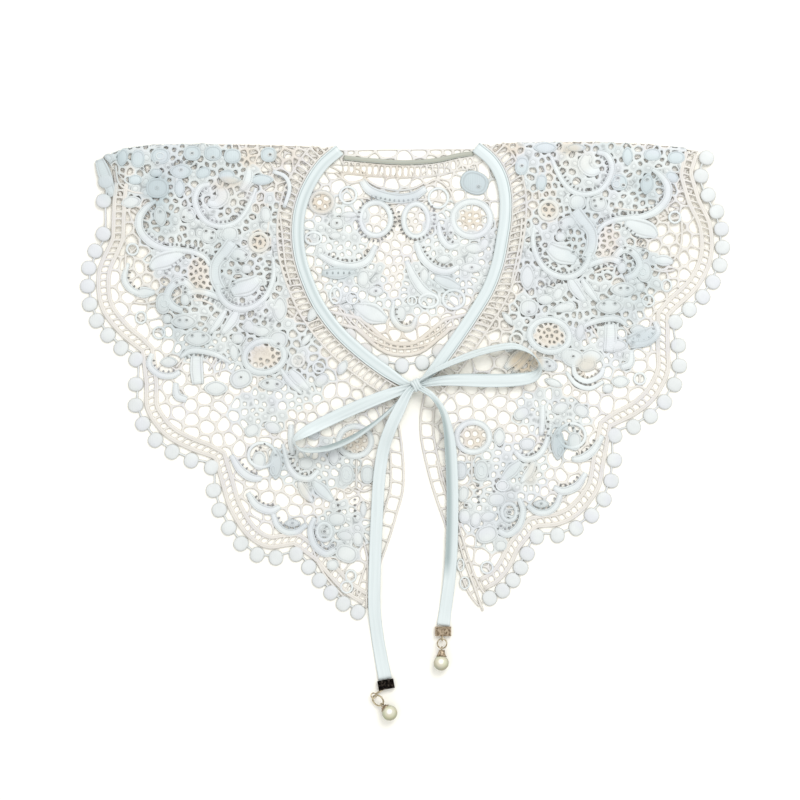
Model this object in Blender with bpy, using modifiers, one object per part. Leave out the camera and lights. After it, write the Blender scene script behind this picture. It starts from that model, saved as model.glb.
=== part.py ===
"""Lace collar laid flat and folded at the shoulders, tied with a ribbon bow."""

import math
import random

import bmesh
import bpy
from mathutils import Vector
from mathutils.geometry import intersect_line_line_2d

# Tables are in millimetres and degrees, seen from above with the fold at the top.
MM = 0.001
ORIGIN_SHIFT = (-0.25, 0.25, 0.0)

# Lace
NET_THICK = 1.2
MOTIF_FOOT = 0.35
MOTIF_TOP = 1.9
LAYER_GAP = 0.4
FRONT_LEVEL = NET_THICK + LAYER_GAP
BAR_WIDTH = 1.7
CORD_WIDTH = 1.9
CELL_SPACING = 10.2
CELL_DARTS = 9000
NEAREST_CELLS = 12
SHORTEST_SIDE = 3.3
SMALLEST_HOLE = 4.0
EYE_MARGIN = 0.4
RELAX_ROUNDS = 3
NET_SEEDS = {"lace_back": 5, "lace_front_left": 11, "lace_front_right": 12}
MOST_GAPS = {"lace_back": 50, "lace_front_left": 106, "lace_front_right": 106}
GAP_SHRINK = 0.85
SHRINK_ROUNDS = 4
PICOT_RADIUS = 4.8
PICOT_SIDES = 5
PICOT_STEM = 1.5
PICOT_REACH = 8.6
BAND_WIDTH = 8.0
RUNG_PITCH = 7.0
LOOP_WIDTH = 9.5
LOOP_PITCH = 10.5
NECK_BAND_WIDTH = 11.0
NECK_POINTS = 18
INNER_POINTS = 14
SEAM_GAP = 0.3
SIDE_MARGIN = 1.0
NECK_MARGIN = 5.0
FOLD_MARGIN = 4.0
FOLD_INSET = 0.05
FOLD_WALL = 1.1
BACK_FOLD_STEP = 1.6
DRAPE_START = 20.0
DRAPE_LENGTH = 26.0

# Ribbon
RIBBON_WIDTH = 8.6
RIBBON_THICK = 1.2
BINDING_LEVEL = 2.25
BINDING_THICK = 1.8
BACK_BINDING_WIDTH = 3.4
BACK_BINDING_THICK = 1.9
KNOT_CENTRE = (5.0, 31.0, 7.0)
KNOT_SIZE = (9.5, 8.0, 5.2)

# Ends of the ribbon
CLAMP_SIZE = (11.6, 6.6, 3.2)
LOOP_MAJOR = 1.9
LOOP_MINOR = 0.45
LOOP_SLACK = 0.35
NECK_SECTION = (1.6, 1.1)
RING_MINOR = 0.45
EYE_MAJOR = 1.4
EYE_MINOR = 0.4
EYE_SLACK = 0.15
CAP_RADII = (2.6, 1.1)

# The outer edge is a row of scallops: how many beads, and a curve through their centres.
LEFT_SCALLOPS = (
    (2, ((-217.5, 179), (-219, 165))),
    (8, ((-219, 142), (-230, 116), (-228, 86), (-213, 64), (-195, 49))),
    (7, ((-196, 33), (-195, 12), (-181, -9), (-162, -21), (-140, -29))),
    (6, ((-140, -44), (-135, -60), (-121, -82), (-101, -93), (-78, -91))),
    (5, ((-71, -100), (-61, -112), (-48, -125), (-35, -133))),
)
RIGHT_SCALLOPS = (
    (2, ((219, 195), (215, 182))),
    (9, ((220, 170), (229, 150), (230, 123), (219, 98), (196, 76))),
    (7, ((199, 61), (199, 40), (188, 18), (172, 4), (152, -6))),
    (7, ((153, -22), (148, -46), (132, -67), (114, -77), (95, -79))),
    (5, ((90, -90), (82, -106), (72, -117), (62, -123))),
)
BACK_SCALLOPS = (
    (0, ((-219, 186), (-215, 166), (-200, 148), (-182, 140))),
    (0, ((-176, 128), (-160, 106), (-138, 95), (-118, 94))),
    (0, ((-108, 84), (-88, 66), (-68, 62), (-50, 68))),
    (7, ((-42, 66), (-22, 49), (-3, 44), (17, 48), (38, 65))),
    (0, ((50, 68), (68, 62), (88, 66), (108, 84))),
    (0, ((118, 94), (138, 95), (160, 106), (176, 128))),
    (0, ((182, 140), (200, 148), (215, 166), (219, 186))),
)
HEM_SCALLOP = 3

FOLD_LEFT = ((-218, 197), (-203, 203), (-183, 206), (-150, 206.5), (-112, 206), (-75, 205), (-54, 204))
FOLD_RIGHT = ((60, 206), (75, 207), (100, 208), (140, 208), (175, 206.5), (200, 204), (214, 202))
BACK_NECK = ((-44, 196), (-25, 194), (0, 192.5), (22, 194), (38, 197.5), (49, 199))
BINDING_LEFT = (
    (-47, 201.5), (-60, 190), (-70, 174), (-75.5, 158), (-77, 142), (-75.5, 126),
    (-71, 110), (-62, 90), (-47, 70), (-27, 52), (-8, 38.5), (1, 33),
)
BINDING_RIGHT = (
    (51, 203.5), (62, 194), (69, 182), (72, 168), (72, 153), (70, 138),
    (66.5, 120), (60, 102), (50, 85), (38, 67), (25, 49), (13.5, 36),
)
BINDING_ROWS_OVER_BACK = 9
INNER_LEFT = (
    (-4, 26), (-6, 12), (-3, -4), (-1, -22), (-1, -42), (-5, -58),
    (-10, -75), (-16, -92), (-22, -108), (-26, -121),
)
INNER_RIGHT = (
    (14, 27), (11, 12), (11, -4), (14, -20), (18, -36), (23, -52),
    (28, -66), (32, -80), (37, -96), (42, -110), (47, -120), (53, -127),
)

# Satin-stitched shapes.
# Leaf: x, y, length, width, turn. Arc: x, y, radius, width, start, sweep.
# Ring: x, y, half length, half width, turn, band.
LEFT_LEAVES = (
    (-143, 195, 54, 13, 2),
    (-213, 181, 32, 8, -84),
    (-181, 173, 24, 15, 62),
    (-157, 170, 22, 10, -50),
    (-116, 180, 24, 8, 88),
    (-126, 138, 44, 9, 88),
    (-179, 148, 22, 13, 80),
    (-174, 120, 24, 11, 12),
    (-158, 109, 24, 9, 10),
    (-116, 106, 26, 13, 18),
    (-94, 98, 18, 12, 70),
    (-188, 97, 19, 8, -20),
    (-134, 80, 26, 8, 55),
    (-124, 80, 22, 7, 70),
    (-98, 77, 30, 11, 0),
    (-72, 68, 21, 10, -52),
    (-45, 35, 15, 12, 10),
    (-152, 42, 22, 7, 88),
    (-133, 30, 24, 8, -5),
    (-125, -3, 21, 13, -8),
    (-69, -24, 16, 12, 10),
    (-75, -42, 26, 8, -52),
    (-57, -44, 23, 8, -48),
    (-80, -67, 18, 7, 2),
    (-44, -58, 17, 13, 80),
    (-41, -75, 26, 17, -70),
)
LEFT_ARCS = (
    (-133, 166, 18, 8, 150, 215),
    (-121, 110, 19, 8, 140, 250),
    (-165, 150, 24, 6, 190, 130),
    (-170, 48, 10, 7, 140, 230),
    (-146, 26, 29, 5, 40, 100),
    (-146, 59, 11, 7, 10, 160),
    (-157, 82, 9, 8, 175, 190),
    (-112, -20, 14, 7, 165, 110),
    (-71, -20, 14, 6, 180, 150),
)
LEFT_RINGS = (
    (-101, 53, 19, 15, -20, 6),
    (-94, -21, 16, 8, 90, 5),
    (-36, -9, 18, 17, 0, 6),
    (-57, -70, 10, 9, 0, 6),
    (-172, 90, 7, 7, 0, 5),
)
RIGHT_LEAVES = (
    (88, 190, 22, 14, 30),
    (120, 147, 34, 12, 88),
    (154, 176, 18, 13, 0),
    (156, 195, 22, 12, -60),
    (177, 173, 20, 13, 85),
    (168, 141, 36, 11, -48),
    (116, 128, 22, 19, 0),
    (160, 131, 20, 15, 40),
    (171, 117, 15, 12, 0),
    (156, 106, 22, 14, 30),
    (121, 100, 30, 9, -62),
    (132, 99, 26, 8, -60),
    (98, 92, 30, 11, 0),
    (79, 72, 24, 8, -75),
    (145, 84, 22, 13, 5),
    (171, 72, 22, 17, 60),
    (162, 56, 18, 13, 50),
    (151, 32, 22, 12, 40),
    (66, -4, 20, 14, 85),
    (102, -7, 24, 8, 90),
    (24, -9, 17, 12, 90),
    (80, -12, 18, 12, 80),
    (88, -25, 28, 12, 35),
    (67, -40, 13, 10, 0),
    (47, -29, 18, 15, 90),
    (43, -57, 20, 11, 88),
    (61, -73, 28, 15, -8),
    (117, -34, 20, 13, 30),
)
RIGHT_ARCS = (
    (119, 127, 17, 8, 185, 235),
    (150, 134, 15, 6, 20, 140),
    (181, 171, 13, 6, 180, 180),
    (150, 67, 12, 6, -40, 210),
    (129, 47, 14, 8, 165, 210),
    (104, 43, 10, 7, 190, 150),
    (119, -2, 13, 9, 170, 215),
    (98, -45, 10, 7, 190, 160),
)
RIGHT_RINGS = (
    (131, 186, 18, 15, 90, 6),
    (102, 69, 17, 16, 0, 7),
    (47, -5, 15, 14, 0, 5),
    (75, -60, 11, 9, 80, 6),
)
BACK_LEAVES = (
    (48, 177, 20, 13, 0),
    (33, 141, 18, 11, -60),
    (29, 104, 26, 11, -5),
    (-45, 113, 20, 11, 0),
    (2, 83, 22, 8, -70),
    (-12, 88, 20, 8, 60),
)
BACK_ARCS = (
    (-7, 191, 24, 7, 222, 96),
    (-38, 139, 17, 8, 200, 165),
    (27, 134, 17, 8, 180, 150),
    (-4, 104, 44, 5, 222, 96),
)
BACK_RINGS = (
    (-22, 152, 12, 10, 90, 3.5),
    (7, 151, 13, 9, 82, 3.5),
    (47, 153, 15, 14, 90, 5),
    (-50, 150, 9, 8, 60, 4.5),
)

# Ribbon paths: x, y, z, roll, width. Roll 0 lies flat, roll 90 stands on its edge.
LEFT_LOOP = (
    (-1, 29, 6.3, 8, 6.0),
    (-12, 25.5, 5.9, 4, 8.0),
    (-30, 18.5, 5.6, 0, 9.0),
    (-50, 9.5, 5.4, 0, 9.0),
    (-66, 1.5, 6.0, 15, 8.6),
    (-76, -4.5, 7.6, 45, 8.4),
    (-79, -9.5, 9.0, 80, 8.4),
    (-72, -13.5, 9.0, 102, 8.4),
    (-55, -12.0, 8.8, 106, 8.4),
    (-38, -5.0, 8.4, 104, 8.0),
    (-22, 5.0, 7.4, 100, 6.0),
    (-10, 15.0, 5.9, 95, 3.8),
    (-3.5, 21.5, 5.6, 90, 3.0),
)
RIGHT_LOOP = (
    (10.5, 35.5, 6.8, -85, 3.8),
    (22, 42.5, 8.0, -78, 6.0),
    (40, 51, 8.8, -74, 8.4),
    (60, 57.5, 9.0, -72, 8.6),
    (78, 60, 9.0, -74, 8.6),
    (91, 54.5, 9.0, -84, 8.6),
    (96.5, 45.5, 8.6, -100, 8.6),
    (92, 38.5, 7.2, -150, 8.6),
    (78, 36, 5.8, -178, 9.4),
    (60, 35.5, 5.4, -180, 9.6),
    (42, 36, 5.5, -180, 9.0),
    (25, 35.3, 5.8, -180, 7.0),
    (12, 32.6, 6.2, -180, 4.2),
)
LEFT_TAIL = (
    (1.5, 25.5, 8.6, 8, 6.4),
    (-4.5, 14, 8.6, 4, 8.4),
    (-11, 0, 7.0, 2, 8.8),
    (-15.5, -14, 4.3, 0, 8.8),
    (-18.5, -34, 3.1, 0, 8.8),
    (-20, -58, 2.9, 0, 8.8),
    (-21.2, -84, 2.9, 0, 8.8),
    (-22, -108, 2.9, 0, 8.8),
    (-22, -128, 1.9, 0, 8.8),
    (-20.2, -146, 0.8, 0, 8.8),
    (-17.2, -164, 0.7, 0, 9.2),
    (-14.2, -179.2, 1.6, 0, 9.4),
)
RIGHT_TAIL = (
    (10.5, 27.5, 8.0, -20, 5.0),
    (19, 24, 9.6, -40, 6.4),
    (26, 14, 9.4, -42, 7.6),
    (30.5, 0, 7.0, -24, 8.4),
    (33, -18, 4.3, -4, 8.6),
    (34, -42, 3.0, 0, 8.6),
    (34, -68, 2.9, 0, 8.6),
    (33.2, -92, 2.9, 0, 8.6),
    (31.4, -112, 1.9, 0, 8.6),
    (29, -130, 0.8, 0, 8.8),
    (27.6, -140.5, 1.6, 0, 9.2),
)

# Ribbon ends: clamp, its turn, where its loop leaves it, ring, its radius, heading and tilt,
# pearl and its radius.
RIGHT_END = ((27.4, -144.8, 1.75), 0, 0.0, (26.6, -153.4, 3.2), 3.4, -92, 0, (26.0, -167.2, 5.45), 5.4)
LEFT_END = ((-13.6, -183.0, 1.75), 10, -2.0, (-19.4, -194.2, 4.2), 4.3, -48, 50, (-11.0, -203.0, 5.55), 5.5)

MATERIALS = {
    "net": ((0.86, 0.85, 0.81), 0.0, 0.85),
    "ribbon": ((0.79, 0.88, 0.87), 0.0, 0.45),
    "dark_brass": ((0.10, 0.07, 0.05), 1.0, 0.45),
    "brass": ((0.43, 0.30, 0.20), 1.0, 0.35),
    "pearl": ((0.78, 0.72, 0.56), 0.0, 0.25),
}


def clear_scene():
    """Remove everything the startup file holds."""
    for thing in list(bpy.data.objects):
        bpy.data.objects.remove(thing, do_unlink=True)


def make_materials():
    """One Principled material for each row of the table."""
    made = {}
    for name, (colour, metallic, roughness) in MATERIALS.items():
        material = bpy.data.materials.new(name)
        material.use_nodes = True
        shader = material.node_tree.nodes["Principled BSDF"]
        shader.inputs["Base Color"].default_value = (*colour, 1.0)
        shader.inputs["Metallic"].default_value = metallic
        shader.inputs["Roughness"].default_value = roughness
        material.diffuse_color = (*colour, 1.0)
        made[name] = material
    return made


def place(thing, name, collection, material):
    """Put a finished object in the parts collection with its material."""
    for old in list(thing.users_collection):
        old.objects.unlink(thing)
    collection.objects.link(thing)
    thing.name = name
    thing.data.name = name
    thing.data.materials.clear()
    thing.data.materials.append(material)
    for vertex in thing.data.vertices:
        vertex.co += Vector(ORIGIN_SHIFT) * MM


def vectors(points):
    return [Vector(point) for point in points]


def smooth(points, steps=6):
    """A curve through the points, with this many steps in each span."""
    ends = vectors(points)
    ends = [2 * ends[0] - ends[1]] + ends + [2 * ends[-1] - ends[-2]]
    curve = []
    for a, b, c, d in zip(ends, ends[1:], ends[2:], ends[3:]):
        for step in range(steps):
            t = step / steps
            straight = 2 * b + (c - a) * t
            bent = (2 * a - 5 * b + 4 * c - d) * t**2 + (3 * b - a - 3 * c + d) * t**3
            curve.append(0.5 * (straight + bent))
    curve.append(ends[-2])
    return curve


def length_of(points):
    return sum((b - a).length for a, b in zip(points, points[1:]))


def evenly(points, count):
    """This many points at equal distances along a polyline, both ends kept."""
    total = length_of(points)
    found = [points[0].copy()]
    done = 0.0
    span = 0
    for index in range(1, count - 1):
        target = total * index / (count - 1)
        step = (points[span + 1] - points[span]).length
        while done + step < target:
            done += step
            span += 1
            step = (points[span + 1] - points[span]).length
        found.append(points[span].lerp(points[span + 1], (target - done) / step))
    found.append(points[-1].copy())
    return found


def left_normals(points):
    """Unit vectors to the left of the walking direction."""
    found = []
    for index in range(len(points)):
        ahead = points[min(index + 1, len(points) - 1)]
        behind = points[max(index - 1, 0)]
        along = (ahead - behind).normalized()
        found.append(Vector((-along.y, along.x)))
    return found


def offset(points, distance):
    """The polyline moved to its left."""
    return [point + normal * distance for point, normal in zip(points, left_normals(points))]


def gap_to(point, chain):
    """Shortest distance from a point to a polyline."""
    best = math.inf
    for a, b in zip(chain, chain[1:]):
        along = b - a
        reach = (point - a).dot(along) / max(along.length_squared, 1e-9)
        near = a + along * min(max(reach, 0.0), 1.0)
        best = min(best, (near - point).length)
    return best


def sides_of(polygon):
    return zip(polygon, polygon[1:] + polygon[:1])


def inside(point, polygon):
    """Whether a point is inside a closed polygon."""
    hit = False
    for a, b in sides_of(polygon):
        if (a.y > point.y) != (b.y > point.y):
            hit ^= point.x < a.x + (point.y - a.y) * (b.x - a.x) / (b.y - a.y)
    return hit


def keep_side(polygon, middle, away):
    """The part of a polygon on the near side of a line."""
    kept = []
    for a, b in sides_of(polygon):
        side_a = (a - middle).dot(away)
        side_b = (b - middle).dot(away)
        if side_a <= 0:
            kept.append(a)
        if side_a * side_b < 0:
            kept.append(a.lerp(b, side_a / (side_a - side_b)))
    return kept


def centre_of(polygon):
    return sum(polygon, Vector((0.0, 0.0))) / len(polygon)


def area_of(polygon):
    return 0.5 * abs(sum(a.x * b.y - b.x * a.y for a, b in sides_of(polygon)))


def turned(u, v, x, y, turn):
    """A point of a shape, turned and moved to its place."""
    spin = math.radians(turn)
    along = Vector((math.cos(spin), math.sin(spin)))
    return Vector((x, y)) + along * u + Vector((-along.y, along.x)) * v


def leaf_shape(x, y, length, width, turn, points=4):
    """Pointed oval."""
    shape = []
    for side in (1, -1):
        for step in range(points):
            t = 2 * step / points - 1
            bulge = (1 - t * t) ** 0.8
            shape.append(turned(-side * t * length / 2, side * bulge * width / 2, x, y, turn))
    return shape


def arc_shape(x, y, radius, width, start, sweep):
    """Band along an arc, narrower at both ends."""
    outer = []
    inner = []
    steps = max(3, round(sweep / 45))
    for step in range(steps + 1):
        angle = math.radians(start + sweep * step / steps)
        half = width / 2 * (0.35 + 0.65 * math.sin(math.pi * step / steps) ** 0.5)
        ray = Vector((math.cos(angle), math.sin(angle)))
        outer.append(Vector((x, y)) + ray * (radius + half))
        inner.append(Vector((x, y)) + ray * (radius - half))
    return outer + inner[::-1]


def oval_shape(x, y, half_length, half_width, turn, points):
    shape = []
    for step in range(points):
        angle = 2 * math.pi * step / points
        shape.append(turned(half_length * math.cos(angle), half_width * math.sin(angle), x, y, turn))
    return shape


def satin_shapes(leaves, arcs, rings):
    """Plan outline of each satin shape that stands clear of the others, and of its opening."""
    drawn = []
    for x, y, half_length, half_width, turn, band in rings:
        outer = oval_shape(x, y, half_length, half_width, turn, 10)
        inner = oval_shape(x, y, half_length - band, half_width - band, turn, 7)
        drawn.append((outer, inner))
    drawn += [(arc_shape(*row), None) for row in arcs]
    drawn += [(leaf_shape(*row), None) for row in leaves]
    kept = []
    for outer, opening in drawn:
        if not any(cross(outer, other) for other, _ in kept):
            kept.append((outer, opening))
    return kept


def eyes(motifs):
    """Gaps in the middle of the rings that are wide enough to cut."""
    found = []
    for _, opening in motifs:
        if opening:
            middle = centre_of(opening)
            eye = [corner + (middle - corner).normalized() * EYE_MARGIN for corner in opening]
            if min((corner - middle).length for corner in eye) > SMALLEST_HOLE / 2:
                found.append(eye)
    return found


def scallop_edge(rows):
    """The edge cord and its beads, walking with the lace on the left."""
    cord = []
    beads = {}
    for count, points in rows:
        line = smooth(points)
        if not count:
            cord += offset(evenly(line, 6), PICOT_REACH)
            continue
        centres = evenly(line, 2 * count - 1)
        for index, (centre, inward) in enumerate(zip(centres, left_normals(centres))):
            if index % 2 == 0:
                beads[len(cord)] = (centre, inward)
            cord.append(centre + inward * PICOT_REACH)
    return cord, beads


def with_beads(cord, beads):
    """The cord's outer line with a bead on a stem at each place."""
    edge = []
    for index, point in enumerate(offset(cord, -CORD_WIDTH / 2)):
        if index not in beads:
            if index - 1 not in beads or index + 1 not in beads:
                edge.append(point)
            continue
        centre, inward = beads[index]
        along = Vector((inward.y, -inward.x))
        foot = centre + inward * (PICOT_REACH - CORD_WIDTH / 2)
        edge.append(foot - along * PICOT_STEM)
        for step in range(PICOT_SIDES):
            angle = math.radians(-150 + 300 * step / (PICOT_SIDES - 1))
            ray = -inward * math.cos(angle) + along * math.sin(angle)
            edge.append(centre + ray * PICOT_RADIUS)
        edge.append(foot + along * PICOT_STEM)
    return edge


def net_region(outline, chains):
    """Outline of the net: each chain moved in, less what the other chains' bands take."""
    region = []
    for chain, depth in chains:
        count = max(2, int(length_of(chain) / 4))
        for point in offset(evenly(chain, count), depth):
            clear = all(gap_to(point, other) >= reach - 0.4 for other, reach in chains)
            if clear and inside(point, outline):
                region.append(point)
    return region


def scatter(region, shapes, chance):
    """Cell centres spread over the region, clear of the satin shapes."""
    xs = [point.x for point in region]
    ys = [point.y for point in region]
    seeds = []
    for _ in range(CELL_DARTS):
        dart = Vector((chance.uniform(min(xs), max(xs)), chance.uniform(min(ys), max(ys))))
        if any((dart - seed).length < CELL_SPACING for seed in seeds):
            continue
        if inside(dart, region) and not any(inside(dart, shape) for shape in shapes):
            seeds.append(dart)
    return seeds


def cell_around(seed, seeds, region):
    """The part of the region that is nearer to this seed than to the others."""
    reach = CELL_SPACING * 1.3
    cell = [seed + Vector(corner) * reach for corner in ((-1, -1), (1, -1), (1, 1), (-1, 1))]
    near = sorted(seeds, key=lambda other: (other - seed).length)
    for other in near[1 : NEAREST_CELLS + 1]:
        cell = keep_side(cell, (seed + other) / 2, other - seed)
    if all(inside(corner, region) for corner in cell):
        return cell
    clipped = region
    for a, b in sides_of(cell):
        clipped = keep_side(clipped, a, Vector((b.y - a.y, a.x - b.x)))
    return clipped


def net_cells(region, shapes, seed_number):
    """Cells of nearly even size, evened out over a few rounds."""
    seeds = scatter(region, shapes, random.Random(seed_number))
    for _ in range(RELAX_ROUNDS):
        moved = [centre_of(cell) for cell in (cell_around(s, seeds, region) for s in seeds) if cell]
        seeds = [seed for seed in moved if not any(inside(seed, shape) for shape in shapes)]
    return [cell for cell in (cell_around(s, seeds, region) for s in seeds) if len(cell) > 2]


def hole_in(cell, shapes):
    """The open part of a cell, clear of the satin, or nothing where it is too small to cut."""
    corners = []
    for corner in cell:
        if not corners or (corner - corners[-1]).length > SHORTEST_SIDE:
            corners.append(corner)
    if (corners[0] - corners[-1]).length < SHORTEST_SIDE:
        corners.pop()
    if len(corners) < 3:
        return None
    middle = centre_of(corners)
    if any(inside(middle, shape) for shape in shapes):
        return None
    hole = []
    for corner in corners:
        reach = corner - middle
        reach -= reach.normalized() * BAR_WIDTH * 0.6
        while any(inside(middle + reach, shape) for shape in shapes):
            reach *= GAP_SHRINK
        hole.append(middle + reach)
    for _ in range(SHRINK_ROUNDS):
        if not any(cross(hole, shape) for shape in shapes):
            return hole if area_of(hole) > SMALLEST_HOLE**2 else None
        hole = [middle.lerp(corner, GAP_SHRINK) for corner in hole]
    return None


def band_holes(chain, near, far, pitch):
    """Four-sided gaps between two lines beside a chain."""
    count = max(1, round(length_of(chain) / pitch))
    close = evenly(offset(chain, near), count + 1)
    deep = evenly(offset(chain, far), count + 1)
    holes = []
    for index in range(count):
        bar = (close[index + 1] - close[index]).normalized() * BAR_WIDTH / 2
        hole = [close[index] + bar, close[index + 1] - bar, deep[index + 1] - bar, deep[index] + bar]
        sides = [(b - a).length for a, b in sides_of(hole)]
        if min(sides) > SMALLEST_HOLE and (hole[1] - hole[0]).dot(hole[2] - hole[3]) > 0:
            holes.append(hole)
    return holes


def cross(first, second):
    """Whether two outlines cross or one holds the other."""
    if inside(first[0], second) or inside(second[0], first):
        return True
    for a, b in sides_of(first):
        if any(intersect_line_line_2d(a, b, c, d) for c, d in sides_of(second)):
            return True
    return False


def crosses_itself(shape):
    sides = list(sides_of(shape))
    for index, (a, b) in enumerate(sides):
        others = [sides[(index + step) % len(sides)] for step in range(2, len(sides) - 1)]
        if any(intersect_line_line_2d(a, b, c, d) for c, d in others):
            return True
    return False


def clear_gaps(outline, gaps, most):
    """The largest gaps, each whole, within the outline and clear of the others."""
    kept = []
    for gap in sorted(gaps, key=area_of, reverse=True):
        if crosses_itself(gap) or not all(inside(corner, outline) for corner in gap):
            continue
        near = [other for other in kept if (centre_of(other) - centre_of(gap)).length < 3 * CELL_SPACING]
        if not any(cross(gap, other) for other in near):
            kept.append(gap)
    return kept[:most]


def flat_solid(name, outline, holes, bottom, top):
    """Filled outline with holes, extruded between two levels."""
    data = bpy.data.curves.new(name, "CURVE")
    data.dimensions = "2D"
    data.fill_mode = "BOTH"
    data.extrude = (top - bottom) / 2 * MM
    for loop in [outline] + holes:
        spline = data.splines.new("POLY")
        spline.points.add(len(loop) - 1)
        for point, corner in zip(spline.points, loop):
            point.co = (corner.x * MM, corner.y * MM, 0.0, 1.0)
        spline.use_cyclic_u = True
    flat = bpy.data.objects.new(name, data)
    bpy.context.scene.collection.objects.link(flat)
    form = bmesh.new()
    form.from_mesh(bpy.data.meshes.new_from_object(flat))
    bpy.data.objects.remove(flat, do_unlink=True)
    bmesh.ops.remove_doubles(form, verts=form.verts, dist=1e-6)
    bmesh.ops.translate(form, verts=form.verts, vec=(0, 0, (top + bottom) / 2 * MM))
    bmesh.ops.recalc_face_normals(form, faces=form.faces)
    return finish_mesh(name, form)


def finish_mesh(name, form):
    """Object from a working mesh."""
    mesh = bpy.data.meshes.new(name)
    form.to_mesh(mesh)
    form.free()
    made = bpy.data.objects.new(name, mesh)
    bpy.context.scene.collection.objects.link(made)
    return made


def joined(pieces):
    """Several mesh objects as one."""
    bpy.ops.object.select_all(action="DESELECT")
    for piece in pieces:
        piece.select_set(True)
    bpy.context.view_layer.objects.active = pieces[0]
    if len(pieces) > 1:
        bpy.ops.object.join()
    return pieces[0]


def boolean(target, tool, operation):
    """Apply one exact Boolean and remove its tool."""
    bpy.context.view_layer.objects.active = target
    step = target.modifiers.new("Shape", "BOOLEAN")
    step.operation = operation
    step.solver = "EXACT"
    step.use_self = operation == "UNION"
    step.object = tool
    bpy.ops.object.modifier_apply(modifier=step.name)
    bpy.data.objects.remove(tool, do_unlink=True)
    return target


def lace_panel(name, outline, region, cut, motifs):
    """Net plate with its cells cut through and its satin shapes raised."""
    shapes = [outer for outer, opening in motifs]
    cells = net_cells(region, shapes, NET_SEEDS[name])
    holes = [hole for hole in (hole_in(cell, shapes) for cell in cells) if hole]
    holes += [gap for gap in cut if not any(cross(gap, shape) for shape in shapes)]
    holes += eyes(motifs)
    holes = clear_gaps(outline, holes, MOST_GAPS[name])
    panel = flat_solid(name, outline, holes, 0.0, NET_THICK)
    raised = []
    for outer, opening in motifs:
        openings = [opening] if opening else []
        raised.append(flat_solid("raised", outer, openings, MOTIF_FOOT, MOTIF_TOP))
    print(name, "gaps", len(holes), "satin shapes", len(motifs))
    return boolean(panel, joined(raised), "UNION")


def settle(panel, rest):
    """Lift a front panel over the back and lower it to the surface beyond."""
    edge = rest + rest[:1]
    for vertex in panel.data.vertices:
        point = Vector((vertex.co.x / MM, vertex.co.y / MM))
        beyond = 0.0 if inside(point, rest) else gap_to(point, edge)
        t = min(max((beyond - DRAPE_START) / DRAPE_LENGTH, 0.0), 1.0)
        vertex.co.z += FRONT_LEVEL * (1 - t * t * (3 - 2 * t)) * MM


def front_panel(name, walk, tables, rest):
    """One front: scalloped outer edge, looped inner edge, neck band and fold."""
    scallops, fold, binding, inner, motifs = tables
    rows = [(count, points[::walk]) for count, points in scallops][::walk]
    cord, beads = scallop_edge(rows)
    bound = evenly(smooth(binding), NECK_POINTS)
    neck = offset(bound, -walk * (RIBBON_WIDTH / 2 + SEAM_GAP))[::-walk]
    loops = evenly(smooth(inner), INNER_POINTS)[::-walk]
    crease = vectors(fold)[::-1]
    rest_of_edge = [loops, neck, crease] if walk == 1 else [crease, neck, loops]
    outline = with_beads(cord, beads) + [point for line in rest_of_edge for point in line]
    depths = {id(loops): LOOP_WIDTH, id(neck): NECK_BAND_WIDTH, id(crease): FOLD_MARGIN}
    chains = [(cord, BAND_WIDTH)] + [(line, depths[id(line)]) for line in rest_of_edge]
    cut = band_holes(cord, CORD_WIDTH / 2, BAND_WIDTH - CORD_WIDTH / 2, RUNG_PITCH)
    cut += band_holes(loops, BAR_WIDTH, LOOP_WIDTH - BAR_WIDTH / 2, LOOP_PITCH)
    panel = lace_panel(name, outline, net_region(outline, chains), cut, motifs)
    settle(panel, rest)
    wall_outer = offset(crease, FOLD_INSET)
    wall_inner = offset(crease, FOLD_WALL)
    wall = flat_solid("wall", wall_outer + wall_inner[::-1], [], 0.0, FRONT_LEVEL + NET_THICK / 2)
    return boolean(panel, wall, "UNION")


def back_panel():
    """The back, cut only where it shows through the neck opening. Also returns its outline."""
    cord, beads = scallop_edge(BACK_SCALLOPS)
    step = Vector((0.0, BACK_FOLD_STEP))
    right_fold = [point - step for point in vectors(FOLD_RIGHT)[::-1]]
    left_fold = [point - step for point in vectors(FOLD_LEFT)[::-1]]
    neck = offset(smooth(BACK_NECK, 3)[::-1], BACK_BINDING_WIDTH / 2 + SEAM_GAP)
    outline = with_beads(cord, beads) + right_fold + neck + left_fold
    hem, _ = scallop_edge([BACK_SCALLOPS[HEM_SCALLOP]])
    left_side = smooth(BINDING_LEFT[:BINDING_ROWS_OVER_BACK], 3)
    right_side = smooth(BINDING_RIGHT[:BINDING_ROWS_OVER_BACK], 3)[::-1]
    chains = [(left_side, SIDE_MARGIN), (hem, BAND_WIDTH), (right_side, SIDE_MARGIN), (neck, NECK_MARGIN)]
    cut = band_holes(hem, CORD_WIDTH / 2, BAND_WIDTH - CORD_WIDTH / 2, RUNG_PITCH)
    motifs = satin_shapes(BACK_LEAVES, BACK_ARCS, BACK_RINGS)
    panel = lace_panel("lace_back", outline, net_region(outline, chains), cut, motifs)
    return panel, cord + right_fold + neck + left_fold


def bound_edge(name, points, width, level, thick):
    """Ribbon sewn along an edge."""
    line = evenly(smooth(points), NECK_POINTS)
    outline = offset(line, width / 2) + offset(line, -width / 2)[::-1]
    return flat_solid(name, outline, [], level, level + thick)


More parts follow.
